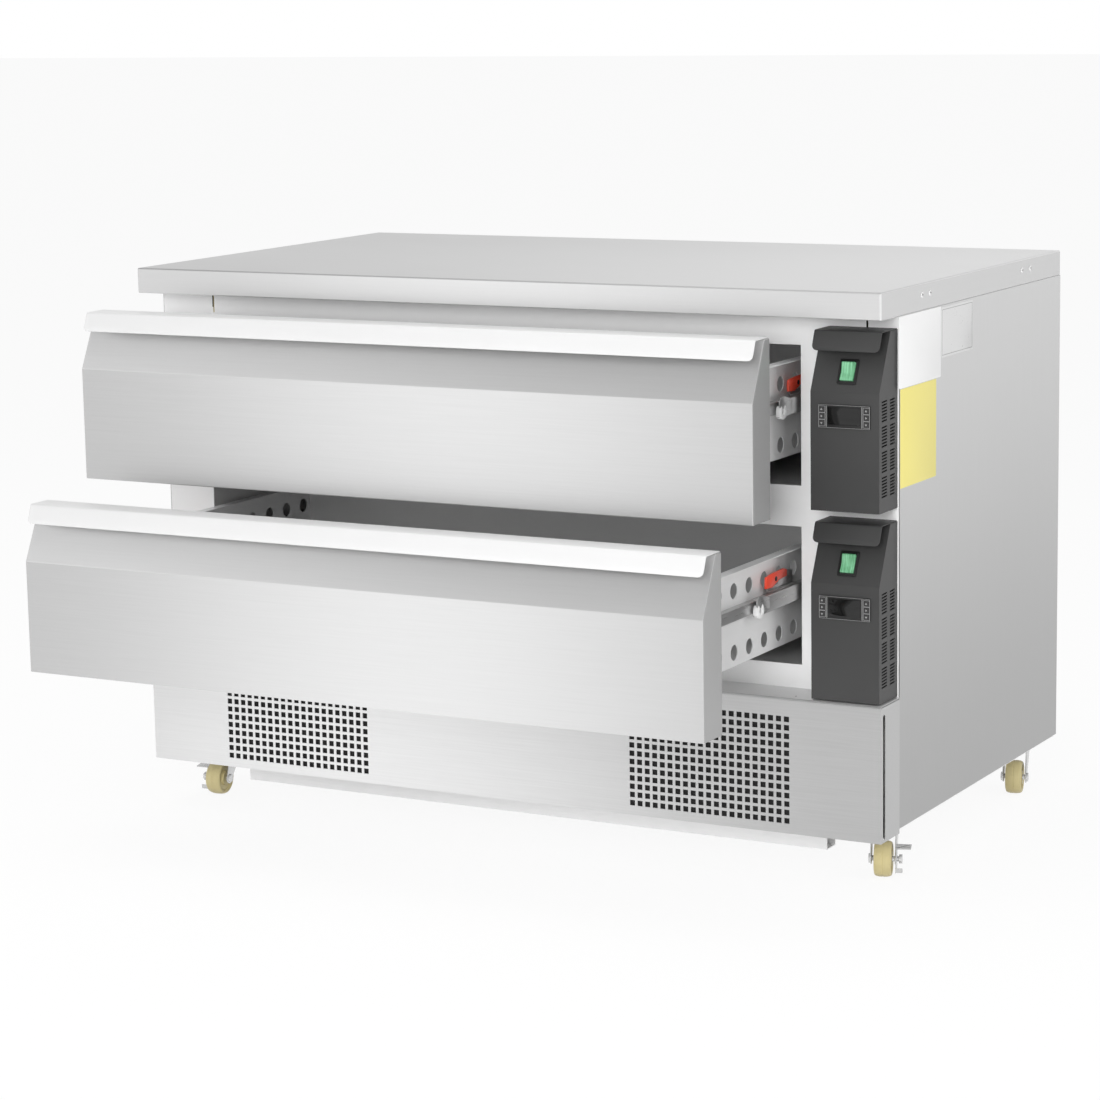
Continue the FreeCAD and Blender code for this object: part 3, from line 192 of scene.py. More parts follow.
def part(name, shell, material, body, wall=0.0, edge=0.0, crisp=32):
    """A finished piece from a shell of points and faces: given its wall, its edges
    rounded by the edge radius, and carried by a body of the frame."""
    points, faces = shell
    raw = bmesh.new()
    corners = [raw.verts.new(point) for point in points.tolist()]
    for face in faces:
        raw.faces.new([corners[number] for number in face])
    bmesh.ops.remove_doubles(raw, verts=raw.verts, dist=1e-6)
    if not wall:
        bmesh.ops.recalc_face_normals(raw, faces=raw.faces)
    mesh = bpy.data.meshes.new(name)
    raw.to_mesh(mesh)
    raw.free()
    piece = bpy.data.objects.new(name, mesh)
    bpy.context.scene.collection.objects.link(piece)
    if wall:
        solid = piece.modifiers.new("wall", "SOLIDIFY")
        solid.thickness = wall
        solid.offset = -1
        solid.use_even_offset = True
    if edge:
        rounding = piece.modifiers.new("edge", "BEVEL")
        rounding.width = edge
        rounding.segments = 2
        rounding.limit_method = "ANGLE"
        rounding.angle_limit = math.radians(crisp)
    if wall or edge:
        view = bpy.context.evaluated_depsgraph_get()
        piece.data = bpy.data.meshes.new_from_object(piece.evaluated_get(view))
        piece.modifiers.clear()
    piece.data.name = name
    piece.data.shade_smooth()
    piece.data.set_sharp_from_angle(angle=math.radians(crisp))
    piece.data.materials.clear()
    piece.data.materials.append(material)
    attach(piece, body)
    return piece


def dress(material, *names):
    """Give a material to CAD nodes that are shown as they are."""
    for name in names:
        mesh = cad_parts[name].data
        mesh.materials.clear()
        mesh.materials.append(material)


def paint_face_light(piece, material, direction, least=0.9, reach=10.0):
    """Give the faces of a piece that look along a direction, and lie no farther along it
    than the reach, another finish: a lighter or darker copy that paints their light or shade."""
    piece.data.materials.append(material)
    count = len(piece.data.polygons)
    outward, centres, slots = np.zeros(3 * count), np.zeros(3 * count), np.zeros(count, np.int32)
    piece.data.polygons.foreach_get("normal", outward)
    piece.data.polygons.foreach_get("center", centres)
    piece.data.polygons.foreach_get("material_index", slots)
    chosen = (outward.reshape(-1, 3) @ direction > least) & (centres.reshape(-1, 3) @ direction < reach)
    slots[chosen] = len(piece.data.materials) - 1
    piece.data.polygons.foreach_set("material_index", slots)


def middle(low, high):
    """The point half way between two corners."""
    return (np.array(low) + np.array(high)) / 2


low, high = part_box("worktop")
half_x, half_y, thick = (high.x - low.x) / 2, (high.y - low.y) / 2, high.z - low.z
fold = 0.0028
turn_in = 0.022
corner_foot, corner_loss = 0.003, 0.0022
# The top's steel carries a painted sheen band along X, darkest at its left end.
top_steel = brushed("worktop_steel", 202, 237, gloss=0.34, metal=0.8, cloud=1.2, band=("X", low.x, 1.3))
turns = np.linspace(0, math.pi / 2, 5)
tray = [
    (half_x - turn_in, half_y - turn_in, 0.001, 0.003),
    (half_x - turn_in, half_y - turn_in, 0.001, 0.0),
    (half_x - 0.001, half_y - 0.001, 0.002, 0.0),
    (half_x, half_y, corner_foot, 0.001),
]
tray += [
    (half_x - fold * (1 - c), half_y - fold * (1 - c), corner_foot - corner_loss * s, thick - fold * (1 - s))
    for c, s in zip(np.cos(turns), np.sin(turns))
]
tray_shell = rings((*middle(low, high)[:2], low.z), X, Y, Z, tray)
top = part("worktop_tray", tray_shell, top_steel, "cabinet")
# The front edge gets a lighter copy of the steel with its own painted sheen band, and the two ends a darker
# plain copy: painted light and shade set by the way each face looks.
lit_edge_steel = brushed("worktop_edge", 216, 243, gloss=0.36, metal=0.75, cloud=1.2, band=("X", low.x, half_x))
shaded_side_edge = brushed("worktop_side_shaded", 204, 214, along_y, gloss=0.36, metal=0.8, cloud=1.2)
paint_face_light(top, lit_edge_steel, -Y)
paint_face_light(top, shaded_side_edge, X)
paint_face_light(top, shaded_side_edge, -X)
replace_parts(top, "worktop")

# The side panels are single folded sheets, brushed upright. A galvanised sheet
# closes the back, and a bright pan with its channel lies under them all.
# The side steel carries a painted sheen band upright: darkest near the foot, lightest towards the top.
side_steel = brushed("side_steel", 168, 214, along_z, gloss=0.38, metal=0.8, cloud=1, band=("Z", 0.06, 0.86))
galvanised = finish("galvanised", grey(172), grey(204), fineness=240, metal=0.7, cloud=30)
dress(side_steel, "left_side_panel", "right_side_panel")
dress(galvanised, "rear_panel")
pan_steel = brushed("pan_steel", 232, 244, metal=0.3, cloud=2)
dress(pan_steel, "base_pan")

# The front frame and the two drawer cavities are stainless sheet round foamed
# insulation, which shows only where the sheets part.
frame_steel = brushed("frame_steel", 250, 254, gloss=0.5, metal=0.05, cloud=1.5)
liner_steel = finish("liner_steel", grey(196), grey(216), (1, 0.03, 1), 380, gloss=0.34, metal=0.4, cloud=2.0)
foam_dark, foam_light = colour(196, 180, 132), colour(216, 202, 160)
foam = finish("insulation_foam", foam_dark, foam_light, fineness=260, gloss=0.9, relief=0.4, cloud=30)
dress(frame_steel, "face_frame")
dress(liner_steel, "cabinet_liners")
dress(foam, "insulation")

# The lower front panel is one folded sheet: an upright face with two fields of
# punched square vents, a ledge on top, and a slotted return at each end.
sheet = 0.0012


def bent(corners, radius, steps=4):
    """A fold line with its inner corners rounded. Each arc starts and ends
    radius·tan(turn / 2) from its corner."""
    corners = np.array(corners, float)
    line = [corners[:1]]
    for before, corner, after in zip(corners, corners[1:], corners[2:]):
        back = (before - corner) / np.linalg.norm(before - corner)
        on = (after - corner) / np.linalg.norm(after - corner)
        half_turn = (math.pi - math.acos(np.clip(back @ on, -1, 1))) / 2
        centre = corner + (back + on) / np.linalg.norm(back + on) * radius / math.cos(half_turn)
        sweep = np.linspace(-half_turn, half_turn, steps + 1)[:, None]
        inward = (corner - centre) / np.linalg.norm(corner - centre)
        sideways = (on - back) / np.linalg.norm(on - back)
        line.append(centre + radius * (np.cos(sweep) * inward + np.sin(sweep) * sideways))
    line.append(corners[-1:])
    return np.concatenate(line)


def folded(line, first, second, along, start, end, base=(0, 0, 0)):
    """A sheet bent along a line. A point is the line's two numbers along the first
    and second axes, carried from start to end along a third."""
    line = np.array(line, float)
    face = np.array(base) + line[:, :1] * first + line[:, 1:] * second
    points = np.stack([face + start * along, face + end * along], axis=1)
    return points.reshape(-1, 3), quads(len(line), 2)


def flipped(shell):
    """The same shell with its faces turned to look the other way."""
    points, faces = shell
    return points, [face[::-1] for face in faces]


def pierced(outline, holes, first, second, base=(0, 0, 0)):
    """A flat sheet with openings. The outline and the holes are closed loops of
    points on two axes, and the space between them is filled with triangles."""
    blank = bmesh.new()
    for loop in [outline, *holes]:
        corners = [blank.verts.new((p, q, 0)) for p, q in loop]
        for number, corner in enumerate(corners):
            blank.edges.new((corner, corners[number - 1]))
    bmesh.ops.triangle_fill(blank, use_beauty=True, edges=blank.edges, normal=(0, 0, 1))
    blank.verts.index_update()
    flat = np.array([corner.co[:] for corner in blank.verts])
    faces = []
    for face in blank.faces:
        turn = [corner.index for corner in face.verts]
        faces.append(turn if face.normal.z > 0 else turn[::-1])
    blank.free()
    return np.array(base) + flat[:, :1] * first + flat[:, 1:2] * second, faces


def rectangles(lefts, bottoms, width, height):
    """Loops of equal rectangles, one for each left and bottom edge given."""
    corner = np.array([(0, 0), (width, 0), (width, height), (0, height)])
    return [(corner + (left, bottom)).tolist() for left in lefts for bottom in bottoms]


def arc(radius, degrees):
    """Points of a circle on two axes, one for each angle given."""
    turn = np.radians(degrees)
    return radius * np.stack([np.cos(turn), np.sin(turn)], axis=1)


low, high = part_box("lower_front_panel")
# The panel steel carries a painted sheen band along X, darkest at its right end.
panel_steel = brushed("front_steel", 178, 246, gloss=0.36, metal=0.7, cloud=1.4, band=("X", high.x, 0.9))
vent = 0.008
vent_pitch = 0.0122
vent_columns, vent_rows = 21, 13
vent_margin = 0.139
vent_bottom = low.z + 0.014
field = vent_pitch * (vent_columns - 1) + vent
field_lefts = (low.x + vent_margin, high.x - vent_margin - field)
lefts = np.concatenate([left + vent_pitch * np.arange(vent_columns) for left in field_lefts])
bottoms = vent_bottom + vent_pitch * np.arange(vent_rows)
bend = 0.002
outline = [(low.x, low.z), (high.x, low.z), (high.x, high.z - bend), (low.x, high.z - bend)]
face = pierced(outline, rectangles(lefts, bottoms, vent, vent), X, Z, base=(0, low.y, 0))
ledge_line = bent([(low.y, high.z - bend - 1e-4), (low.y, high.z), (high.y, high.z)], bend - 1e-4)[1:]
ledge = folded(ledge_line, Y, Z, X, low.x, high.x)
slot_low, slot_high = low.z + 0.008, low.z + 0.178
slot_middle, slot_half = low.y + 0.011, 0.004
slot_end = arc(slot_half, np.linspace(0, 180, 9))
return_slot = [*(slot_end + (slot_middle, slot_high)), *((slot_middle, slot_low) - slot_end)]
return_front, return_top = low.y + sheet, high.z - sheet
return_outline = [(return_front, low.z), (high.y, low.z), (high.y, return_top), (return_front, return_top)]
right_return = pierced(return_outline, [return_slot], Y, Z, base=(high.x, 0, 0))
left_return = flipped(pierced(return_outline, [return_slot], Y, Z, base=(low.x, 0, 0)))
panel_shell = joined(face, flipped(ledge), right_return, left_return)
front_panel = part("vented_front_panel", panel_shell, panel_steel, "cabinet", wall=sheet)
# The ledge's up-facing faces get a lighter, less metallic copy of the panel steel: painted light on the top
# of the fold.
lit_ledge_steel = brushed("lit_ledge_steel", 216, 228, metal=0.45, cloud=1.4)
paint_face_light(front_panel, lit_ledge_steel, Z)
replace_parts(front_panel, "lower_front_panel")
# Behind each field of vents stands a thin near-black sheet, so that the openings read dark: painted shade in
# the space behind them. The same near-black finish stands for shade in the other slots and openings.
painted_shadow = finish("vent_shadow", grey(16), grey(26), fineness=120, gloss=0.8, relief=0.1)
vent_back = low.y + 0.0022
shadow_half, shadow_tall, shadow_thick = field / 2 + 0.01, 0.088, 0.0003
shadow_rings = [(shadow_half, shadow_tall, 0.003, rise) for rise in (0.0, shadow_thick)]
shadow_z = (bottoms[0] + bottoms[-1] + vent) / 2
shades = [rings((left + field / 2, vent_back, shadow_z), X, Z, -Y, shadow_rings) for left in field_lefts]
part("vent_shadow_sheets", joined(*shades), painted_shadow, "cabinet")

# The two drawer fronts are folded stainless cases: an upright face, a slope above
# the crease, and closed ends. A backing sheet closes each one behind.
# The drawer steel carries a painted sheen band along X, darkest towards the left. The ends take a darker copy
# and the slope a copy whose painted sheen is darkest towards the right: painted shade and reflection set by
# the way each face looks.
front_steel = brushed("drawer_steel", 196, 236, gloss=0.34, metal=0.78, cloud=1.3, band=("X", -0.66, 0.68))
# The pull's lip takes a paler, less metallic steel than the fronts: a painted reflection of the light it
# catches.
lit_lip_steel = brushed("lit_lip_steel", 232, 240, metal=0.3, cloud=2.0)
shaded_end_steel = brushed("shaded_end_steel", 164, 176, along_y, gloss=0.42, metal=0.45)
sheen_slope_steel = brushed("sheen_slope_steel", 204, 236, gloss=0.34, metal=0.78, cloud=1.3, band=("X", 0.66, 1.2))
crease = 0.165
slope_back = 0.039
box_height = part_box("upper_drawer_front")[1].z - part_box("upper_drawer_front")[0].z
slope = np.array([0, slope_back, box_height - crease])
slope /= np.linalg.norm(slope)


def prism(outline, first, second, along, start, end):
    """A solid with a flat outline on two axes, carried from start to end along the
    third. The outline runs round so that the start face looks back along it."""
    outline = np.array(outline, float)
    face = outline[:, :1] * first + outline[:, 1:] * second
    count = len(outline)
    points = np.concatenate([face + start * along, face + end * along])
    faces = quads(2, count, around=True)
    return points, faces + [list(range(count))[::-1], list(range(count, 2 * count))]


def middle_at(low, high, y):
    """The middle of a box as seen from the front, at a depth y."""
    return np.array([(low.x + high.x) / 2, y, (low.z + high.z) / 2])


seal_rubber = finish("seal_rubber", grey(118), grey(136), fineness=240, gloss=0.6, relief=0.1)
basket_look = {"grain": (1, 0.03, 1), "fineness": 380, "gloss": 0.36}
basket_steel = finish("basket_steel", grey(230), grey(246), metal=0.25, **basket_look)
# A darker copy of the basket steel paints the shade inside the trays.
shaded_basket_inside = finish("shaded_basket_inside", grey(206), grey(228), metal=0.3, **basket_look)
slide_steel = finish(
    "slide_zinc", grey(176), grey(200), along_y, 900, gloss=0.3, metal=0.75, relief=0.01, cloud=5
)
hook_white = finish("hook_white", grey(232), grey(240), fineness=300, gloss=0.32, relief=0.02, cloud=4)
red_dark, red_light = colour(226, 66, 46), colour(240, 96, 74)
release_red = finish("release_red", red_dark, red_light, fineness=600, gloss=0.35, relief=0.06)
black_plastic = finish("black_plastic", grey(24), grey(32), fineness=900, gloss=0.42, relief=0.12)
dress(slide_steel, "cabinet_rails")
seal_corner = 0.014
seal_profile = (
    (0.002, 0.0), (0.0, 0.12), (0.0, 0.34), (0.0022, 0.46), (0.0006, 0.6), (0.0006, 0.9), (0.002, 1.0),
    (0.009, 1.0), (0.0105, 0.88), (0.0105, 0.6), (0.0085, 0.46), (0.011, 0.34), (0.011, 0.0),
)
basket_drop, basket_rise = 0.075, 0.061
flange = 0.015
hole_radius = 0.011
hole_pitch = 0.0487
hole_count = 11
first_hole = 0.042
lower_row, upper_row = 0.019, 0.030
rail_depth = 0.0105
rail_bend = 0.0016
hook_centre, hook_outer, hook_inner = (0.008, -0.004), 0.0105, 0.0046
hook_sweep = np.linspace(-235, 55, 25)
hook_ring = np.concatenate([arc(hook_outer, hook_sweep), arc(hook_inner, hook_sweep[::-1])]) + hook_centre
hook_plate = [
    (-0.002, 0.002), (0.038, -0.006), (0.038, 0.010), (0.014, 0.017), (0.004, 0.017), (-0.002, 0.012)
]
lever_plate = [
    (0.058, 0.0125), (0.142, 0.0125), (0.142, 0.030), (0.122, 0.0345), (0.100, 0.0345), (0.092, 0.019),
    (0.058, 0.017),
]
lever_shelf = [(0.058, 0.0122), (0.142, 0.0122), (0.142, 0.0134), (0.058, 0.0134)]
lever_outline = [
    (0, 0.06), (0.30, 0), (0.62, 0.34), (1, 0.42), (1, 0.86), (0.86, 1), (0.34, 0.94), (0.02, 0.84)
]
rivet_sink = 0.0004
rivet_rings = [(r, r, r, rise) for r, rise in ((0.0034, 0.0), (0.0034, 0.0009), (0.0022, 0.0011))]


def lip_strip(left, right, front, back, foot, top, lean=0.011, corner=0.008):
    """A folded pull: a flat top, a bend, and a lip that leans forward to its foot.
    Over the last of the lip both ends draw in by corner - √(corner² - (t·corner)²),
    a quarter circle, with t running from 0 to 1."""
    line = bent([(back, top), (front + lean, top), (front, foot)], 0.004, steps=6)
    run = np.linspace(0, 1, 9)
    reach = line[-1] - line[-2]
    start = line[-1] - reach / np.linalg.norm(reach) * corner
    line = np.concatenate([line[:-1], start + run[:, None] * (line[-1] - start)])
    inset = np.zeros(len(line))
    inset[-len(run):] = corner - np.sqrt(np.maximum(corner**2 - (run * corner) ** 2, 0))
    face = line[:, :1] * Y + line[:, 1:] * Z
    ends = [face + (right - inset)[:, None] * X, face + (left + inset)[:, None] * X]
    return np.stack(ends, axis=1).reshape(-1, 3), quads(len(line), 2)


for level in ("upper", "lower"):
    body = f"{level}_drawer"
    low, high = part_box(f"{level}_drawer_front")
    face_top, slope_top = (low.y, low.z + crease), (low.y + slope_back, high.z)
    case = [(low.y, low.z), (high.y, low.z), (high.y, high.z), slope_top, face_top]
    shell = prism(case, Y, Z, X, low.x, high.x)
    front = part(f"{level}_front_case", shell, front_steel, body, edge=0.0014, crisp=12)
    # Painted light and shade: the ends and the slope take the darker and the re-banded copies of the steel.
    paint_face_light(front, shaded_end_steel, X)
    paint_face_light(front, shaded_end_steel, -X)
    paint_face_light(front, sheen_slope_steel, np.cross(X, slope), least=0.98)
    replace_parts(front, f"{level}_drawer_front")

    # The pull is a strip along the top edge, folded down over the slope to a lip
    # that stands clear of it, with rounded lower corners.
    low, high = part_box(f"{level}_drawer_handle")
    strip = lip_strip(low.x, high.x, low.y, high.y, low.z, high.z)
    pull = part(f"{level}_pull", strip, lit_lip_steel, body, wall=sheet, edge=0.0003)
    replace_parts(pull, f"{level}_drawer_handle")

    # A magnetic seal runs round the back of each front: a hollow grey extrusion
    # with one fold, pressed into its groove.
    low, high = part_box(f"{level}_drawer_gasket")
    half_width, half_height, depth = (high.x - low.x) / 2, (high.z - low.z) / 2, high.y - low.y
    seal = [
        (half_width - inward, half_height - inward, seal_corner - inward, rise * depth)
        for inward, rise in seal_profile
    ]
    seal_shell = rings(middle_at(low, high, low.y), -X, Z, Y, seal, steps=8, closed=True)
    seal_piece = part(f"{level}_seal", seal_shell, seal_rubber, body, crisp=50)
    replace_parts(seal_piece, f"{level}_drawer_gasket")

    # Each basket is a stainless tray hung on the slides. Its side walls are punched
    # with two rows of round air holes, and their rims are turned out flat.
    rail_low, rail_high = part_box(f"{level}_drawer_rails")
    basket_left, basket_right = rail_low.x + rail_depth, rail_high.x - rail_depth
    rail_z = (rail_low.z + rail_high.z) / 2
    foot, rim = rail_z - basket_drop, rail_z + basket_rise - sheet
    box_low, box_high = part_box(f"{level}_drawer_basket")
    front, back = high.y - depth, box_high.y
    hole_y = front + first_hole + hole_pitch * np.arange(hole_count)
    punch = arc(hole_radius, np.arange(0, 360, 15))
    holes = [(punch + (y, z)).tolist() for y in hole_y for z in (foot + lower_row, rim - upper_row)]
    side = [(front, foot), (back, foot), (back, rim), (front, rim)]
    end = [(basket_left, foot), (basket_right, foot), (basket_right, rim), (basket_left, rim)]
    deck = [(0, front), (flange, front), (flange, back), (0, back)]
    floor = [(basket_left, front), (basket_right, front), (basket_right, back), (basket_left, back)]
    tray = joined(
        pierced(side, holes, Y, Z, base=(basket_right, 0, 0)),
        flipped(pierced(side, holes, Y, Z, base=(basket_left, 0, 0))),
        flipped(pierced(end, [], X, Z, base=(0, back, 0))),
        flipped(pierced(deck, [], X, Y, base=(basket_right, 0, rim))),
        flipped(pierced(deck, [], X, Y, base=(basket_left - flange, 0, rim))),
        flipped(pierced(floor, [], X, Y, base=(0, 0, foot))),
    )
    basket = part(f"{level}_basket", tray, basket_steel, body, wall=sheet)
    # The inner faces of the walls take the darker copy: painted shade inside the tray.
    paint_face_light(basket, shaded_basket_inside, X, reach=0.0)
    paint_face_light(basket, shaded_basket_inside, -X, reach=0.0)
    paint_face_light(basket, shaded_basket_inside, -Y)
    half_width, half_height = (box_high.x - box_low.x) / 2, (box_high.z - box_low.z) / 2
    plate = [(half_width, half_height, 0.002, 0.0), (half_width, half_height, 0.002, sheet)]
    backing = rings(middle_at(box_low, box_high, box_low.y), -X, Z, Y, plate)
    part(f"{level}_front_backing", backing, liner_steel, body, edge=0.0004)
    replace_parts(basket, f"{level}_drawer_basket")

    # The slides are three zinc-plated channels a side: one on the basket, one that
    # travels half as far, and one screwed to the cavity wall.
    middle_low, middle_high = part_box(f"{level}_middle_rails")
    inner, outer = [], []
    for hand, wall_x in ((1, basket_right), (-1, basket_left)):
        for members, near, far, half, start, stop in (
            (inner, 0.0, rail_depth, 0.0085, front, back),
            (outer, 0.012, 0.018, 0.012, middle_low.y, middle_high.y),
        ):
            near_x, far_x = wall_x + hand * near, wall_x + hand * far
            corners = ((near_x, half), (far_x, half), (far_x, -half), (near_x, -half))
            channel = [(x, rail_z + z) for x, z in corners]
            shell = folded(bent(channel, rail_bend), X, Z, Y, start, stop)
            members.append(flipped(shell) if hand > 0 else shell)
    slide = part(f"{level}_drawer_slides", joined(*inner), slide_steel, body, wall=sheet)
    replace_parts(slide, f"{level}_drawer_rails")
    carrier = f"{level}_middle_rails"
    slide = part(f"{level}_middle_slides", joined(*outer), slide_steel, carrier, wall=sheet)
    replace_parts(slide, f"{level}_middle_rails")

    # Each middle channel carries a white hook that keeps the drawer on, and a red
    # lever that frees it, both on small plates.
    hooks, plates = [], []
    for side_name, hand, wall_x in (("right", 1, basket_right), ("left", -1, basket_left)):
        for shells, outline, near, far in (
            (hooks, hook_ring, 0.0130, 0.0208),
            (plates, hook_plate, 0.0182, 0.0198),
            (plates, lever_plate, 0.0056, 0.0070),
            (plates, lever_shelf, 0.0056, 0.0130),
        ):
            span = sorted((wall_x + hand * near, wall_x + hand * far))
            shells.append(prism(np.array(outline) + (middle_low.y, rail_z), Y, Z, X, *span))
        low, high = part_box(f"{level}_{side_name}_latch")
        long, tall = high.y - low.y, high.z - low.z
        shape = np.array(lever_outline) * (long, tall) + (low.y, low.z)
        lever_shell = prism(shape, Y, Z, X, low.x, high.x)
        latch, release = f"{level}_{side_name}_latch", f"{level}_{side_name}_release"
        lever = part(release, lever_shell, release_red, latch, edge=0.0011)
        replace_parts(lever, f"{level}_{side_name}_latch")
        rivet_x = (high.x if hand > 0 else low.x) - hand * rivet_sink
        rivet_spot = (rivet_x, low.y + 0.46 * long, low.z + 0.52 * tall)
        rivet = rings(rivet_spot, hand * Y, Z, hand * X, rivet_rings)
        part(f"{release}_rivet", rivet, black_plastic, latch)
    part(f"{level}_slide_hooks", joined(*hooks), hook_white, carrier, edge=0.0008)
    part(f"{level}_slide_plates", joined(*plates), slide_steel, carrier, edge=0.0004)

# Two control boxes stand beside the drawers. Each is a folded case in dark enamel
# with the drawer fronts' slope and pull, and slanted cooling slots in its ends.
enamel = finish("dark_enamel", grey(56), grey(64), fineness=1400, gloss=0.5, relief=0.16, cloud=5)
group_pitch, slot_pitch, slot_height = 0.0348, 0.00435, 0.0023
slots_foot = 0.021
slot_lean = 0.05
slot_fields = ((0.0085, 0.0185), (0.0375, 0.0165))
shadow_block_inset, shadow_block_depth = 0.004, 0.05
pull_inset, pull_proud, pull_drop = 0.001, 0.0014, 0.027
low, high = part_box("control_boxes")
rise = np.array([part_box(f"{level}_drawer_front")[0].z for level in ("lower", "upper")])
for level, foot in zip(("lower", "upper"), rise):
    top = foot + box_height
    corners = [
        (high.y, foot), (low.y, foot), (low.y, foot + crease), (low.y + slope_back, top), (high.y, top)
    ]
    line = bent(corners, 0.0012, steps=3)
    steps = foot + slots_foot + (group_pitch * np.arange(4)[:, None] + slot_pitch * np.arange(7)).ravel()
    vents = []
    for inset, width in slot_fields:
        lean = width * slot_lean
        leaf = np.array([(0, 0), (width, lean), (width, lean + slot_height), (0, slot_height)])
        vents += [(leaf + (low.y + inset, step)).tolist() for step in steps]
    end = line.tolist()
    shell = joined(
        folded(line, Y, Z, X, low.x, high.x),
        pierced(end, vents, Y, Z, base=(high.x, 0, 0)),
        flipped(pierced(end, vents, Y, Z, base=(low.x, 0, 0))),
    )
    case = part(f"{level}_control_case", shell, enamel, "cabinet", wall=sheet)
    # A near-black block inside each case, set close behind its ends, shows through the slots as painted
    # shade.
    middle_x, deep = (low.x + high.x) / 2, (high.x - low.x) / 2 - shadow_block_inset
    shadow_block = [(deep, crease / 2, 0.002, rise_out) for rise_out in (0.0, shadow_block_depth)]
    shadow_block_shell = rings((middle_x, high.y - shadow_block_inset, foot + crease / 2 + 0.002), X, Z, -Y, shadow_block)
    part(f"{level}_control_shadow_block", shadow_block_shell, painted_shadow, "cabinet")
    edges = (low.x + pull_inset, high.x - pull_inset, low.y + pull_inset, high.y)
    strip = lip_strip(*edges, top + pull_proud - pull_drop, top + pull_proud)
    part(f"{level}_control_pull", strip, enamel, "cabinet", wall=sheet, edge=0.0003)
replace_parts(case, "control_boxes")

# The lit rocker switch sits in a black bezel on each slope: clear green plastic
# over a lamp, ribbed inside, with its two ends moulded as one bent cap.
lens_dark, lens_light = colour(14, 92, 46), colour(150, 214, 172)
green_lens = finish(
    "green_lens", lens_dark, lens_light, (1, 0.05, 0.05), 420, gloss=0.16, relief=0.3, cloud=60, streak=1.8
)
glow = green_lens.node_tree.nodes["Principled BSDF"]
glow.inputs["Emission Color"].default_value = colour(60, 190, 110)
glow.inputs["Emission Strength"].default_value = 0.08
slope_out = np.cross(X, slope)
switch_up = 0.030
switch_half_width, switch_half_height = 0.0100, 0.0140
bezel_profile = ((0.0040, 0.0), (0.0040, 0.0016), (0.0032, 0.0023), (0.0012, 0.0023), (0.0006, 0.0))
bezel = [
    (switch_half_width + wide, switch_half_height + wide, 0.0018, height) for wide, height in bezel_profile
]
cap_reach, cap_half = 0.0132, 0.0098
cap_line = [
    (-cap_reach, -0.003), (cap_reach, -0.003), (cap_reach, 0.0052), (cap_reach - 0.0016, 0.0060),
    (0.0012, 0.0030), (-0.0012, 0.0027), (-cap_reach + 0.0012, 0.0038), (-cap_reach, 0.0030),
]
points, faces = prism(cap_line, slope, slope_out, X, -cap_half, cap_half)
for level, foot in zip(("lower", "upper"), rise):
    seat = np.array([middle_x, low.y, foot + crease]) + switch_up * slope
    bezel_shell = rings(seat, X, slope, slope_out, bezel, closed=True)
    frame_piece = part(
        f"{level}_switch_bezel", bezel_shell, black_plastic, "cabinet", crisp=40
    )
    cap, body = (points + seat, faces), f"{level}_rocker"
    rocker = part(f"{level}_rocker_cap", cap, green_lens, body, edge=0.0006, crisp=25)
    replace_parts(rocker, f"{level}_rocker")
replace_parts(frame_piece, "switch_bezels")

# Each thermostat is a snap-in panel instrument: a black moulded frame, a smoked
# window over the display, and three rubber keys in each end.
smoked = finish("smoked_window", grey(9), grey(16), fineness=60, gloss=0.08, relief=0.01)
print_grey = finish("printed_line", grey(150), grey(166), fineness=500, gloss=0.6)
key_rubber = finish("key_rubber", grey(46), grey(56), fineness=900, gloss=0.55, relief=0.12)
instruments_low, instruments_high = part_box("controllers")
face_y = low.y
key_plane = 0.0010
mark_radius = 0.0019
mark_turns = {"top": 90, "middle": 0, "bottom": -90}


def line_round(centre, across, up, out, half, width, corners, rises):
    """A thin raised line round a rectangle of given half width and height. Its two
    corner radii are the outer and the inner one, and it rises from foot to top."""
    (w, h), (outer, inner), (foot, top) = half, corners, rises
    outside = [(w, h, outer, foot), (w, h, outer, top)]
    inside = [(w - width, h - width, inner, top), (w - width, h - width, inner, foot)]
    return rings(centre, across, up, out, outside + inside, closed=True)


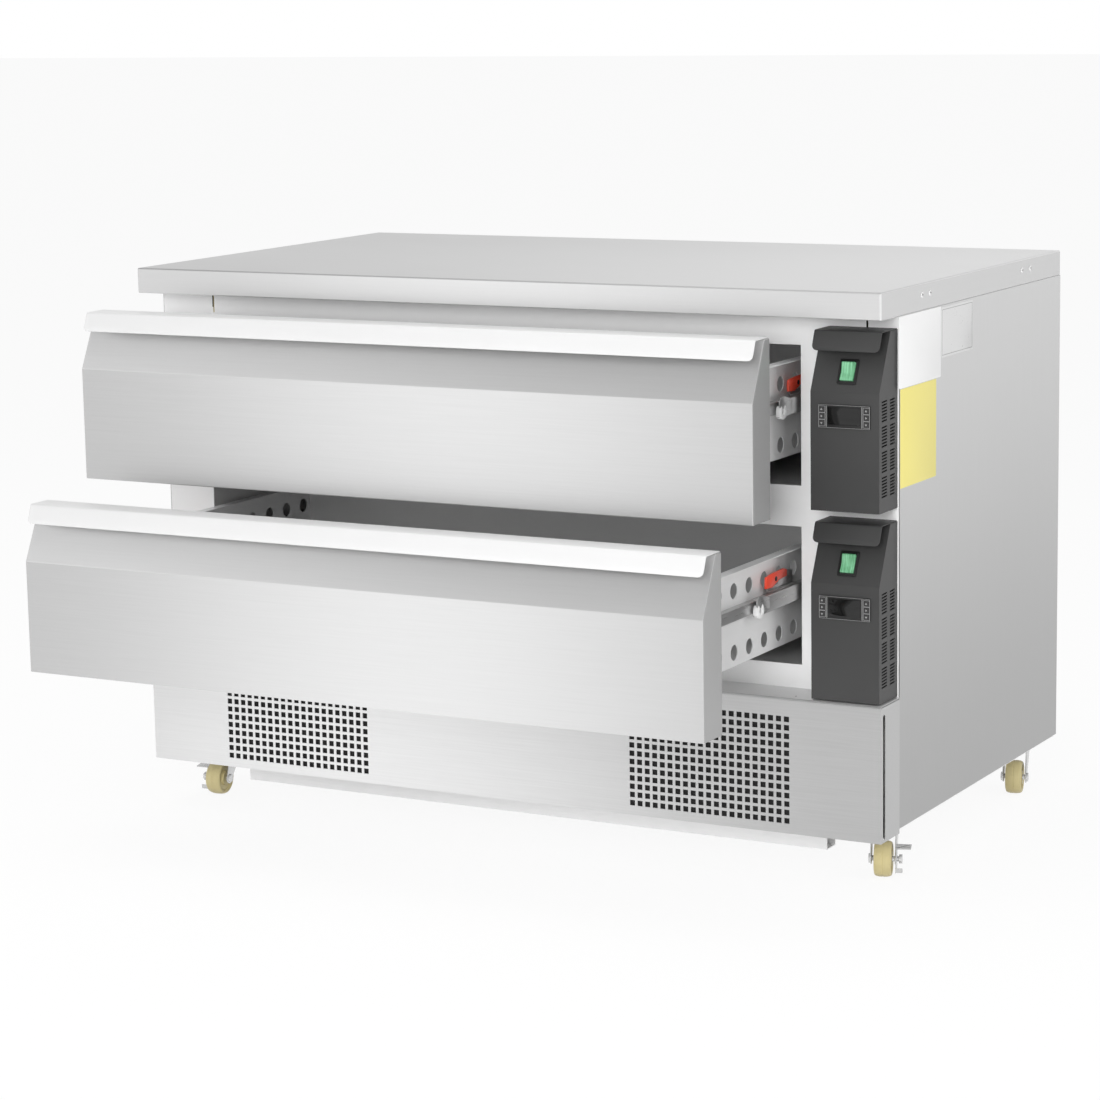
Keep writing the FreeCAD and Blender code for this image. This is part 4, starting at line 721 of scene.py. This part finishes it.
for level in ("lower", "upper"):
    keys = [
        (side_name, row, *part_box(f"{level}_{side_name}_{row}_key"))
        for side_name in ("left", "right")
        for row in ("bottom", "middle", "top")
    ]
    centre_z = (keys[0][2].z + keys[2][3].z) / 2
    centre_x = (instruments_low.x + instruments_high.x) / 2
    seat = np.array([centre_x, face_y, centre_z])
    half_width, half_height = (instruments_high.x - instruments_low.x) / 2, 0.0165
    case_rings = [
        (half_width - inward, half_height - inward, 0.0025, height)
        for inward, height in ((0.0, -0.001), (0.0, 0.0012), (0.0004, 0.0018), (0.0011, 0.0021))
    ]
    case_shell = rings(seat, X, Z, -Y, case_rings)
    instrument = part(f"{level}_thermostat", case_shell, black_plastic, "cabinet", crisp=40)
    pane = [(0.0242, 0.0122, 0.001, 0.0019), (0.0242, 0.0122, 0.001, 0.0024), (0.0238, 0.0118, 0.001, 0.0026)]
    pane_shell = rings(seat + 0.0008 * Z, X, Z, -Y, pane)
    part(f"{level}_thermostat_window", pane_shell, smoked, "cabinet")
    borders = [
        line_round(seat + across * X, X, Z, -Y, half, 0.0004, (0.0002, 0.0), (0.0020, 0.0024))
        for across, half in ((0, (0.0377, 0.0157)), (-0.0264, (0.0006, 0.0145)), (0.0264, (0.0006, 0.0145)))
    ]
    for side_name, row, key_low, key_high in keys:
        ring_seat = middle_at(key_low, key_high, face_y)
        key_corners, key_rises = (0.0008, 0.0005), (0.0020, 0.0025)
        borders.append(line_round(ring_seat, X, Z, -Y, (0.0049, 0.0046), 0.0005, key_corners, key_rises))
        centre = middle_at(key_low, key_high, key_high.y - key_plane)
        w, h = (key_high.x - key_low.x) / 2, (key_high.z - key_low.z) / 2
        proud = centre[1] - key_low.y
        cap_profile = ((0.0, 0.0), (0.0, proud - 0.0007), (0.0003, proud - 0.0002), (0.0012, proud))
        cap = [(w - inward, h - inward, 0.0012, height) for inward, height in cap_profile]
        cap_shell = rings(centre, X, Z, -Y, cap)
        body = f"{level}_{side_name}_{row}_key"
        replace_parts(part(f"{body}_cap", cap_shell, key_rubber, body, crisp=50), body)
        sign = arc(mark_radius, np.array([0, 120, 240]) + mark_turns[row])
        points, faces = prism(sign, X, Z, -Y, proud - 0.0001, proud + 0.00015)
        part(f"{body}_mark", (points + centre, faces), print_grey, body)
    part(f"{level}_thermostat_lines", joined(*borders), print_grey, "cabinet", crisp=60)
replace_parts(instrument, "controllers")

# Three stickers are laid on the right side panel: a white one, a clear one with a
# thin outline, and a yellow one.
white_film = finish("white_film", grey(232), grey(244), fineness=300, gloss=0.45, relief=0.03)
clear_film = finish("clear_film", grey(206), grey(216), fineness=300, gloss=0.3, relief=0.03)
yellow_dark, yellow_light = colour(230, 218, 118), colour(238, 226, 134)
yellow_film = finish("yellow_film", yellow_dark, yellow_light, fineness=300, gloss=0.45, relief=0.03)
panel_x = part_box("right_side_panel")[1].x
film = 0.0002
border_inset, border_width = 0.003, 0.0008
for name, front, back, foot, top, film_finish in (
    ("white_sticker", -0.136, 0.016, 0.704, 0.803, white_film),
    ("clear_sticker", 0.017, 0.138, 0.730, 0.801, clear_film),
    ("yellow_sticker", -0.131, -0.001, 0.565, 0.703, yellow_film),
):
    w, h = (back - front) / 2, (top - foot) / 2
    seat = np.array([panel_x, (front + back) / 2, (foot + top) / 2])
    patch = [(w, h, 0.002, 0.0), (w, h, 0.002, film), (w - 0.0002, h - 0.0002, 0.002, film + 0.0001)]
    part(name, rings(seat, Y, Z, X, patch), film_finish, "cabinet")
    if name == "clear_sticker":
        half = (w - border_inset, h - border_inset)
        border = line_round(seat, Y, Z, X, half, border_width, (0.001, 0.001), (film, film + 0.0002))
        part("clear_sticker_border", border, print_grey, "cabinet", crisp=60)

# Low-domed screws with a cross slot hold the worktop's skirt to the body, four a
# side, and two more hold the ledge.
screw_steel = finish("screw_steel", grey(232), grey(244), fineness=500, gloss=0.2, metal=0.5)
skirt_screws_y, skirt_screws_z = (-0.054, -0.025, 0.336, 0.370), 0.826
ledge_screw_x, ledge_screw_y = 0.4775, -0.183


def screw(centre, across, up, out, radius=0.0034):
    """A low-domed head with a cross slot, drawn as two thin near-black bars laid on the
    dome: painted shade in place of a cut. The dome's rings shrink as cos t while they rise as sin t."""
    t = np.linspace(0, 1.2, 5)
    dome = [(radius * math.cos(a),) * 3 + (0.0004 + 0.0009 * math.sin(a),) for a in t]
    head = rings(centre, across, up, out, [(radius, radius, radius, -0.0004)] + dome)
    cross = []
    for wide, tall in ((0.5, 0.09), (0.09, 0.5)):
        bar = [(radius * wide, radius * tall, 0.0002, height) for height in (0.0008, 0.00135)]
        cross.append(rings(centre, across, up, out, bar, steps=1))
    return head, joined(*cross)


worktop_low, worktop_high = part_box("worktop")
heads, crosses = [], []
for y in skirt_screws_y:
    for across, x in ((Y, worktop_high.x), (-Y, worktop_low.x)):
        head, cross = screw((x, y, skirt_screws_z), across, Z, np.cross(across, Z), radius=0.0042)
        heads.append(head)
        crosses.append(cross)
ledge_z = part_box("lower_front_panel")[1].z
for x in (ledge_screw_x, -ledge_screw_x):
    head, cross = screw((x, ledge_screw_y, ledge_z), X, Y, Z)
    heads.append(head)
    crosses.append(cross)
part("screw_heads", joined(*heads), screw_steel, "cabinet", crisp=50)
# The cross slots are near-black bars: painted shade.
part("screw_slot_shadows", joined(*crosses), painted_shadow, "cabinet")

# Two thin upright relief slots in the strip under the worktop, one near each of its
# ends, are drawn as near-black film on its face: painted shade where the cuts would be.
strip_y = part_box("face_frame")[0].y + 0.0002
relief_z = worktop_low.z - 0.013
relief_rings = [(0.0008, 0.012, 0.0006, height) for height in (0, 0.0003)]
relief_shadows = [rings((x, strip_y, relief_z), X, Z, -Y, relief_rings) for x in (-0.5205, 0.5635)]
part("strip_relief_shadows", joined(*relief_shadows), painted_shadow, "cabinet")

# The casters bolt to the pan: a pressed plate with a ball race, a fork folded from
# one strip, and a cream nylon wheel on a bolt. The front two have a rocking brake.
caster_zinc = finish(
    "caster_zinc", grey(190), grey(218), fineness=420, gloss=0.24, metal=0.85, relief=0.015, cloud=9
)
bolt_zinc = finish(
    "bolt_zinc", grey(206), grey(226), fineness=300, gloss=0.26, metal=0.75, relief=0.01, cloud=6
)
nylon_dark, nylon_light = colour(190, 176, 126), colour(212, 200, 152)
nylon = finish("cream_nylon", nylon_dark, nylon_light, fineness=300, gloss=0.38, cloud=22)
wheel_radius, wheel_half = 0.026, 0.0125
caster_turns = {"front_left": 5, "front_right": 18, "rear_left": 10, "rear_right": 14}
trail = 0.020
fork_half, fork_top, fork_sheet = 0.0165, 0.0145, 0.002
fork_boss, fork_shoulder, shoulder_drop = 0.009, 0.018, 0.006
axle_radius, axle_end = 0.0039, 0.0035
nut_radius, nut_height = 0.0068, 0.0048
lever_room, lever_gap = 0.0056, 0.0010
bolt_spread = 0.022
side_tread = [
    (-1.0, 0.30), (-1.0, 0.42), (-0.72, 0.46), (-0.72, 0.74), (-0.92, 0.78), (-1.0, 0.85), (-0.93, 0.925),
    (-0.72, 0.97), (-0.40, 0.995), (-0.07, 1.0), (-0.04, 0.985),
]
tread = side_tread + [(-s, r) for s, r in side_tread[::-1]]
profile = [(wheel_radius * r,) * 3 + (wheel_half * s,) for s, r in tread]
blade = [
    (-0.010, -0.018), (-0.001, -0.018), (0.008, -0.004), (0.011, 0.010), (0.012, 0.0185), (-0.004, 0.0165),
    (-0.006, 0.010), (-0.008, 0.004),
]
foot_tab = [(-0.0100, -0.018), (-0.0010, -0.018), (-0.0010, -0.0162), (-0.0100, -0.0110)]
top_tab = [(-0.0040, 0.0145), (0.0120, 0.0165), (0.0120, 0.0185), (-0.0040, 0.0165)]
plate_rings = [
    (0.030 - ease, 0.030 - ease, 0.005, drop)
    for ease, drop in ((0.0008, 0.0), (0, 0.0008), (0, 0.0024), (0.0008, 0.003))
]
race_rings = [
    (r, r, r, drop)
    for r, drop in ((0.020, 0.003), (0.0195, 0.0048), (0.018, 0.006), (0.0165, 0.0075), (0.0168, 0.0118))
]
bolt_rings = [(r, r, r, h) for r, h in ((0.0045, 0.003), (0.0045, 0.0048), (0.0032, 0.0062), (0.001, 0.0066))]
plate_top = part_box("caster_plates")[1].z
plates = []
for caster, degrees in caster_turns.items():
    angle = math.radians(degrees)
    u = np.array([math.cos(angle), math.sin(angle), 0])
    v = np.array([-math.sin(angle), math.cos(angle), 0])
    hub = np.array([*middle(*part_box(f"{caster}_wheel"))[:2], wheel_radius])
    body = f"{caster}_wheel"
    wheel_shell = rings(hub, v, Z, u, profile, steps=12)
    wheel = part(f"{caster}_nylon_wheel", wheel_shell, nylon, body, crisp=40)
    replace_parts(wheel, f"{caster}_wheel")
    pivot = np.array([*(hub[:2] + trail * v[:2]), plate_top])
    bridge_z, axle_z = plate_top - fork_top, wheel_radius
    toe = axle_z - fork_boss
    arch = bent([(-fork_half, toe), (-fork_half, bridge_z), (fork_half, bridge_z), (fork_half, toe)], 0.004)
    leg = np.linspace(0, 1, 14)[:, None]
    down = arch[:1] + leg * (arch[1:2] - arch[:1])
    arch = np.concatenate([down, arch[2:-2], down[::-1] * (-1, 1)])
    shoulder_z = bridge_z - shoulder_drop
    lower = np.clip((shoulder_z - arch[:, 1]) / (shoulder_z - axle_z), 0, 1)
    centre = -trail * lower**1.1
    half = fork_shoulder - (fork_shoulder - fork_boss) * lower
    below = np.clip(axle_z - arch[:, 1], 0, fork_boss)
    half = np.where(below > 0, np.sqrt(np.maximum(fork_boss**2 - below**2, 1e-7)), half)
    face = np.array([pivot[0], pivot[1], 0]) + arch[:, :1] * u + arch[:, 1:] * Z
    sides = [face + (centre - half)[:, None] * v, face + (centre + half)[:, None] * v]
    fork_shell = np.stack(sides, axis=1).reshape(-1, 3), quads(len(arch), 2)
    body = f"{caster}_fork"
    fork_name = f"{caster}_pressed_fork"
    fork = part(fork_name, fork_shell, caster_zinc, body, wall=fork_sheet, edge=0.0004)
    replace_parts(fork, f"{caster}_fork")
    braked = caster.startswith("front")
    outer_hand = 1 if caster.endswith("right") else -1
    spans = {hand: fork_half + (lever_room if braked and hand == outer_hand else 0.0) for hand in (1, -1)}
    axle = [(axle_radius,) * 3 + (x,) for x in (-spans[-1] - axle_end, spans[1] + axle_end)]
    ends = [rings(hub, v, Z, u, axle, steps=4)]
    for hand, span in spans.items():
        flats = arc(nut_radius, np.arange(0, 360, 60) + 15)
        points, faces = prism(flats, v, Z, u, *sorted((hand * span, hand * (span + nut_height))))
        ends.append((points + hub, faces))
    part(f"{caster}_axle_bolt", joined(*ends), bolt_zinc, body, edge=0.0005)
    if braked:
        pieces = []
        for outline, far in ((blade, 0.0028), (foot_tab, 0.011), (top_tab, 0.0225)):
            span = sorted((outer_hand * (fork_half + lever_gap), outer_hand * (fork_half + far)))
            points, faces = prism(outline, v, Z, u, *span)
            pieces.append((points + hub, faces))
        body = f"{caster}_brake_lever"
        pedal = joined(*pieces)
        lever = part(f"{caster}_brake_pedal", pedal, caster_zinc, body, edge=0.0006)
        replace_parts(lever, body)
    plates.append(rings(pivot, X, -Y, -Z, plate_rings))
    plates.append(rings(pivot, X, -Y, -Z, race_rings, steps=8))
    for x in (-bolt_spread, bolt_spread):
        for y in (-bolt_spread, bolt_spread):
            plates.append(rings(pivot + (x, y, 0), X, -Y, -Z, bolt_rings, steps=3))
plate_piece = part("caster_top_plates", joined(*plates), caster_zinc, "cabinet", crisp=40)
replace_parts(plate_piece, "caster_plates")

# Behind the vents stand the sealed compressor, a deep-drawn black can on rubber
# feet, and the finned condenser with its fan. Each cavity has a finned evaporator.
black_enamel = finish("black_enamel", grey(20), grey(28), fineness=500, gloss=0.3, relief=0.06, cloud=10)
fins = finish("aluminium_fins", grey(120), grey(206), (1, 1, 0.004), 520, gloss=0.35, metal=0.8, relief=0.5)
fan_black = finish("fan_plastic", grey(30), grey(40), fineness=700, gloss=0.45, relief=0.1)
dress(fins, "condenser", "evaporators")
dress(fan_black, "condenser_fan", "upper_evaporator_fan", "lower_evaporator_fan")
low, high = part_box("compressor")
centre = np.array([*middle(low, high)[:2], 0])
top, foot = high.z, low.z
radius = min(high.x - low.x, high.y - low.y) / 2
can_profile = (
    (0.70, 0.10), (0.86, 0.13), (0.94, 0.18), (0.955, 0.30), (0.955, 0.62), (1.0, 0.635), (1.0, 0.665),
    (0.955, 0.68), (0.94, 0.82), (0.88, 0.90), (0.76, 0.955), (0.55, 0.985), (0.25, 1.0), (0.02, 1.0),
)
dome = [(radius * r,) * 3 + (foot + (top - foot) * h,) for r, h in can_profile]
can = rings(centre, X, Y, Z, dome, steps=10)
base = rings(centre, X, Y, Z, [(0.105, 0.060, 0.012, foot + h) for h in (0.010, 0.014)])
foot_rings = [(r, r, r, foot + h) for r, h in ((0.009, 0), (0.012, 0.003), (0.012, 0.012), (0.007, 0.016))]
feet_spots = [(x, y, 0) for x in (-0.085, 0.085) for y in (-0.045, 0.045)]
feet = [rings(centre + spot, X, Y, Z, foot_rings) for spot in feet_spots]
can_shell = joined(can, base, *feet)
compressor = part("compressor_can", can_shell, black_enamel, "cabinet", crisp=45)
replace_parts(compressor, "compressor")

# The stage: a pale floor and a white surround, with soft lamps and the camera at
# the photograph's place.
floor_tone = 0.95
floor_reach = 40.0
floor_glow = 0.9


def seen_directly(tree):
    """One for rays that show a background: from the camera, a gloss or clear plastic."""
    path = tree.nodes.new("ShaderNodeLightPath")
    total = path.outputs["Is Camera Ray"]
    for name in ("Is Glossy Ray", "Is Transmission Ray"):
        either = tree.nodes.new("ShaderNodeMath")
        either.operation = "MAXIMUM"
        tree.links.new(total, either.inputs[0])
        tree.links.new(path.outputs[name], either.inputs[1])
        total = either.outputs["Value"]
    return total


floor_mesh = bpy.data.meshes.new("floor")
floor_corners = [(x * floor_reach, y * floor_reach, 0) for x, y in ((-1, -1), (1, -1), (1, 1), (-1, 1))]
floor_mesh.from_pydata(floor_corners, [], [(0, 1, 2, 3)])
floor = bpy.data.objects.new("floor", floor_mesh)
bpy.context.scene.collection.objects.link(floor)
pale = bpy.data.materials.new("pale_floor")
pale.use_nodes = True
tree = pale.node_tree
shader = tree.nodes["Principled BSDF"]
shader.inputs["Base Color"].default_value = (floor_tone, floor_tone, floor_tone, 1)
shader.inputs["Roughness"].default_value = 0.9
glow = tree.nodes.new("ShaderNodeEmission")
mix = tree.nodes.new("ShaderNodeMixShader")
share = tree.nodes.new("ShaderNodeMath")
share.operation = "MULTIPLY"
share.inputs[1].default_value = floor_glow
tree.links.new(seen_directly(tree), share.inputs[0])
tree.links.new(share.outputs["Value"], mix.inputs["Fac"])
tree.links.new(shader.outputs["BSDF"], mix.inputs[1])
tree.links.new(glow.outputs["Emission"], mix.inputs[2])
tree.links.new(mix.outputs["Shader"], tree.nodes["Material Output"].inputs["Surface"])
floor_mesh.materials.append(pale)

overhead = 0.45
fill_strength = 0.55
dimming_start, dimming_end = 0.2, 0.56
world = bpy.data.worlds.new("studio")
bpy.context.scene.world = world
world.use_nodes = True
tree = world.node_tree
new, link = tree.nodes.new, tree.links.new
fill = tree.nodes["Background"]
fill.inputs["Color"].default_value = (1, 1, 1, 1)
fill.inputs["Strength"].default_value = fill_strength
white = new("ShaderNodeBackground")
white.inputs["Color"].default_value = (1, 1, 1, 1)
mix = new("ShaderNodeMixShader")
direction = new("ShaderNodeTexCoord")
height = new("ShaderNodeSeparateXYZ")
dimming = new("ShaderNodeMapRange")
dimming.inputs["From Min"].default_value = dimming_start
dimming.inputs["From Max"].default_value = dimming_end
dimming.inputs["To Min"].default_value = 1.0
dimming.inputs["To Max"].default_value = overhead
link(direction.outputs["Generated"], height.inputs["Vector"])
link(height.outputs["Z"], dimming.inputs["Value"])
link(dimming.outputs["Result"], white.inputs["Strength"])
link(seen_directly(tree), mix.inputs["Fac"])
link(fill.outputs["Background"], mix.inputs[1])
link(white.outputs["Background"], mix.inputs[2])
link(mix.outputs["Shader"], tree.nodes["World Output"].inputs["Surface"])


def softbox(name, place, aim, size, power):
    """A square soft lamp at a place, turned to look at its aim."""
    lamp = bpy.data.lights.new(name, "AREA")
    lamp.shape = "SQUARE"
    lamp.size = size
    lamp.energy = power
    holder = bpy.data.objects.new(name, lamp)
    bpy.context.scene.collection.objects.link(holder)
    holder.location = place
    holder.visible_glossy = False
    holder.rotation_euler = (Vector(aim) - Vector(place)).to_track_quat("-Z", "Y").to_euler()


softbox("front_lamp", (1.6, -4.9, 1.7), (0, -0.2, 0.45), 1.8, 120)
softbox("side_lamp", (4.2, -0.4, 2.0), (0.4, 0.1, 0.4), 2.4, 40)
softbox("top_lamp", (-0.6, -0.6, 4.2), (0, 0, 0.5), 3.0, 60)

camera_place = (2.331985, -4.254174, 1.275596)
yaw, pitch, roll = (math.radians(angle) for angle in (28.854, -10.049, -1.02))
ahead = Vector((-math.sin(yaw) * math.cos(pitch), math.cos(yaw) * math.cos(pitch), math.sin(pitch)))
level_right = Vector((math.cos(yaw), math.sin(yaw), 0))
level_up = level_right.cross(ahead)
right = level_right * math.cos(roll) + level_up * math.sin(roll)
up = level_up * math.cos(roll) - level_right * math.sin(roll)
lens = bpy.data.cameras.new("camera")
lens.lens = 106.85
lens.sensor_width = 36.0
camera = bpy.data.objects.new("camera", lens)
bpy.context.scene.collection.objects.link(camera)
turn = Matrix((right, up, -ahead)).transposed().to_4x4()
camera.matrix_world = Matrix.Translation(camera_place) @ turn
bpy.context.scene.camera = camera
bpy.context.scene.view_settings.view_transform = "Standard"
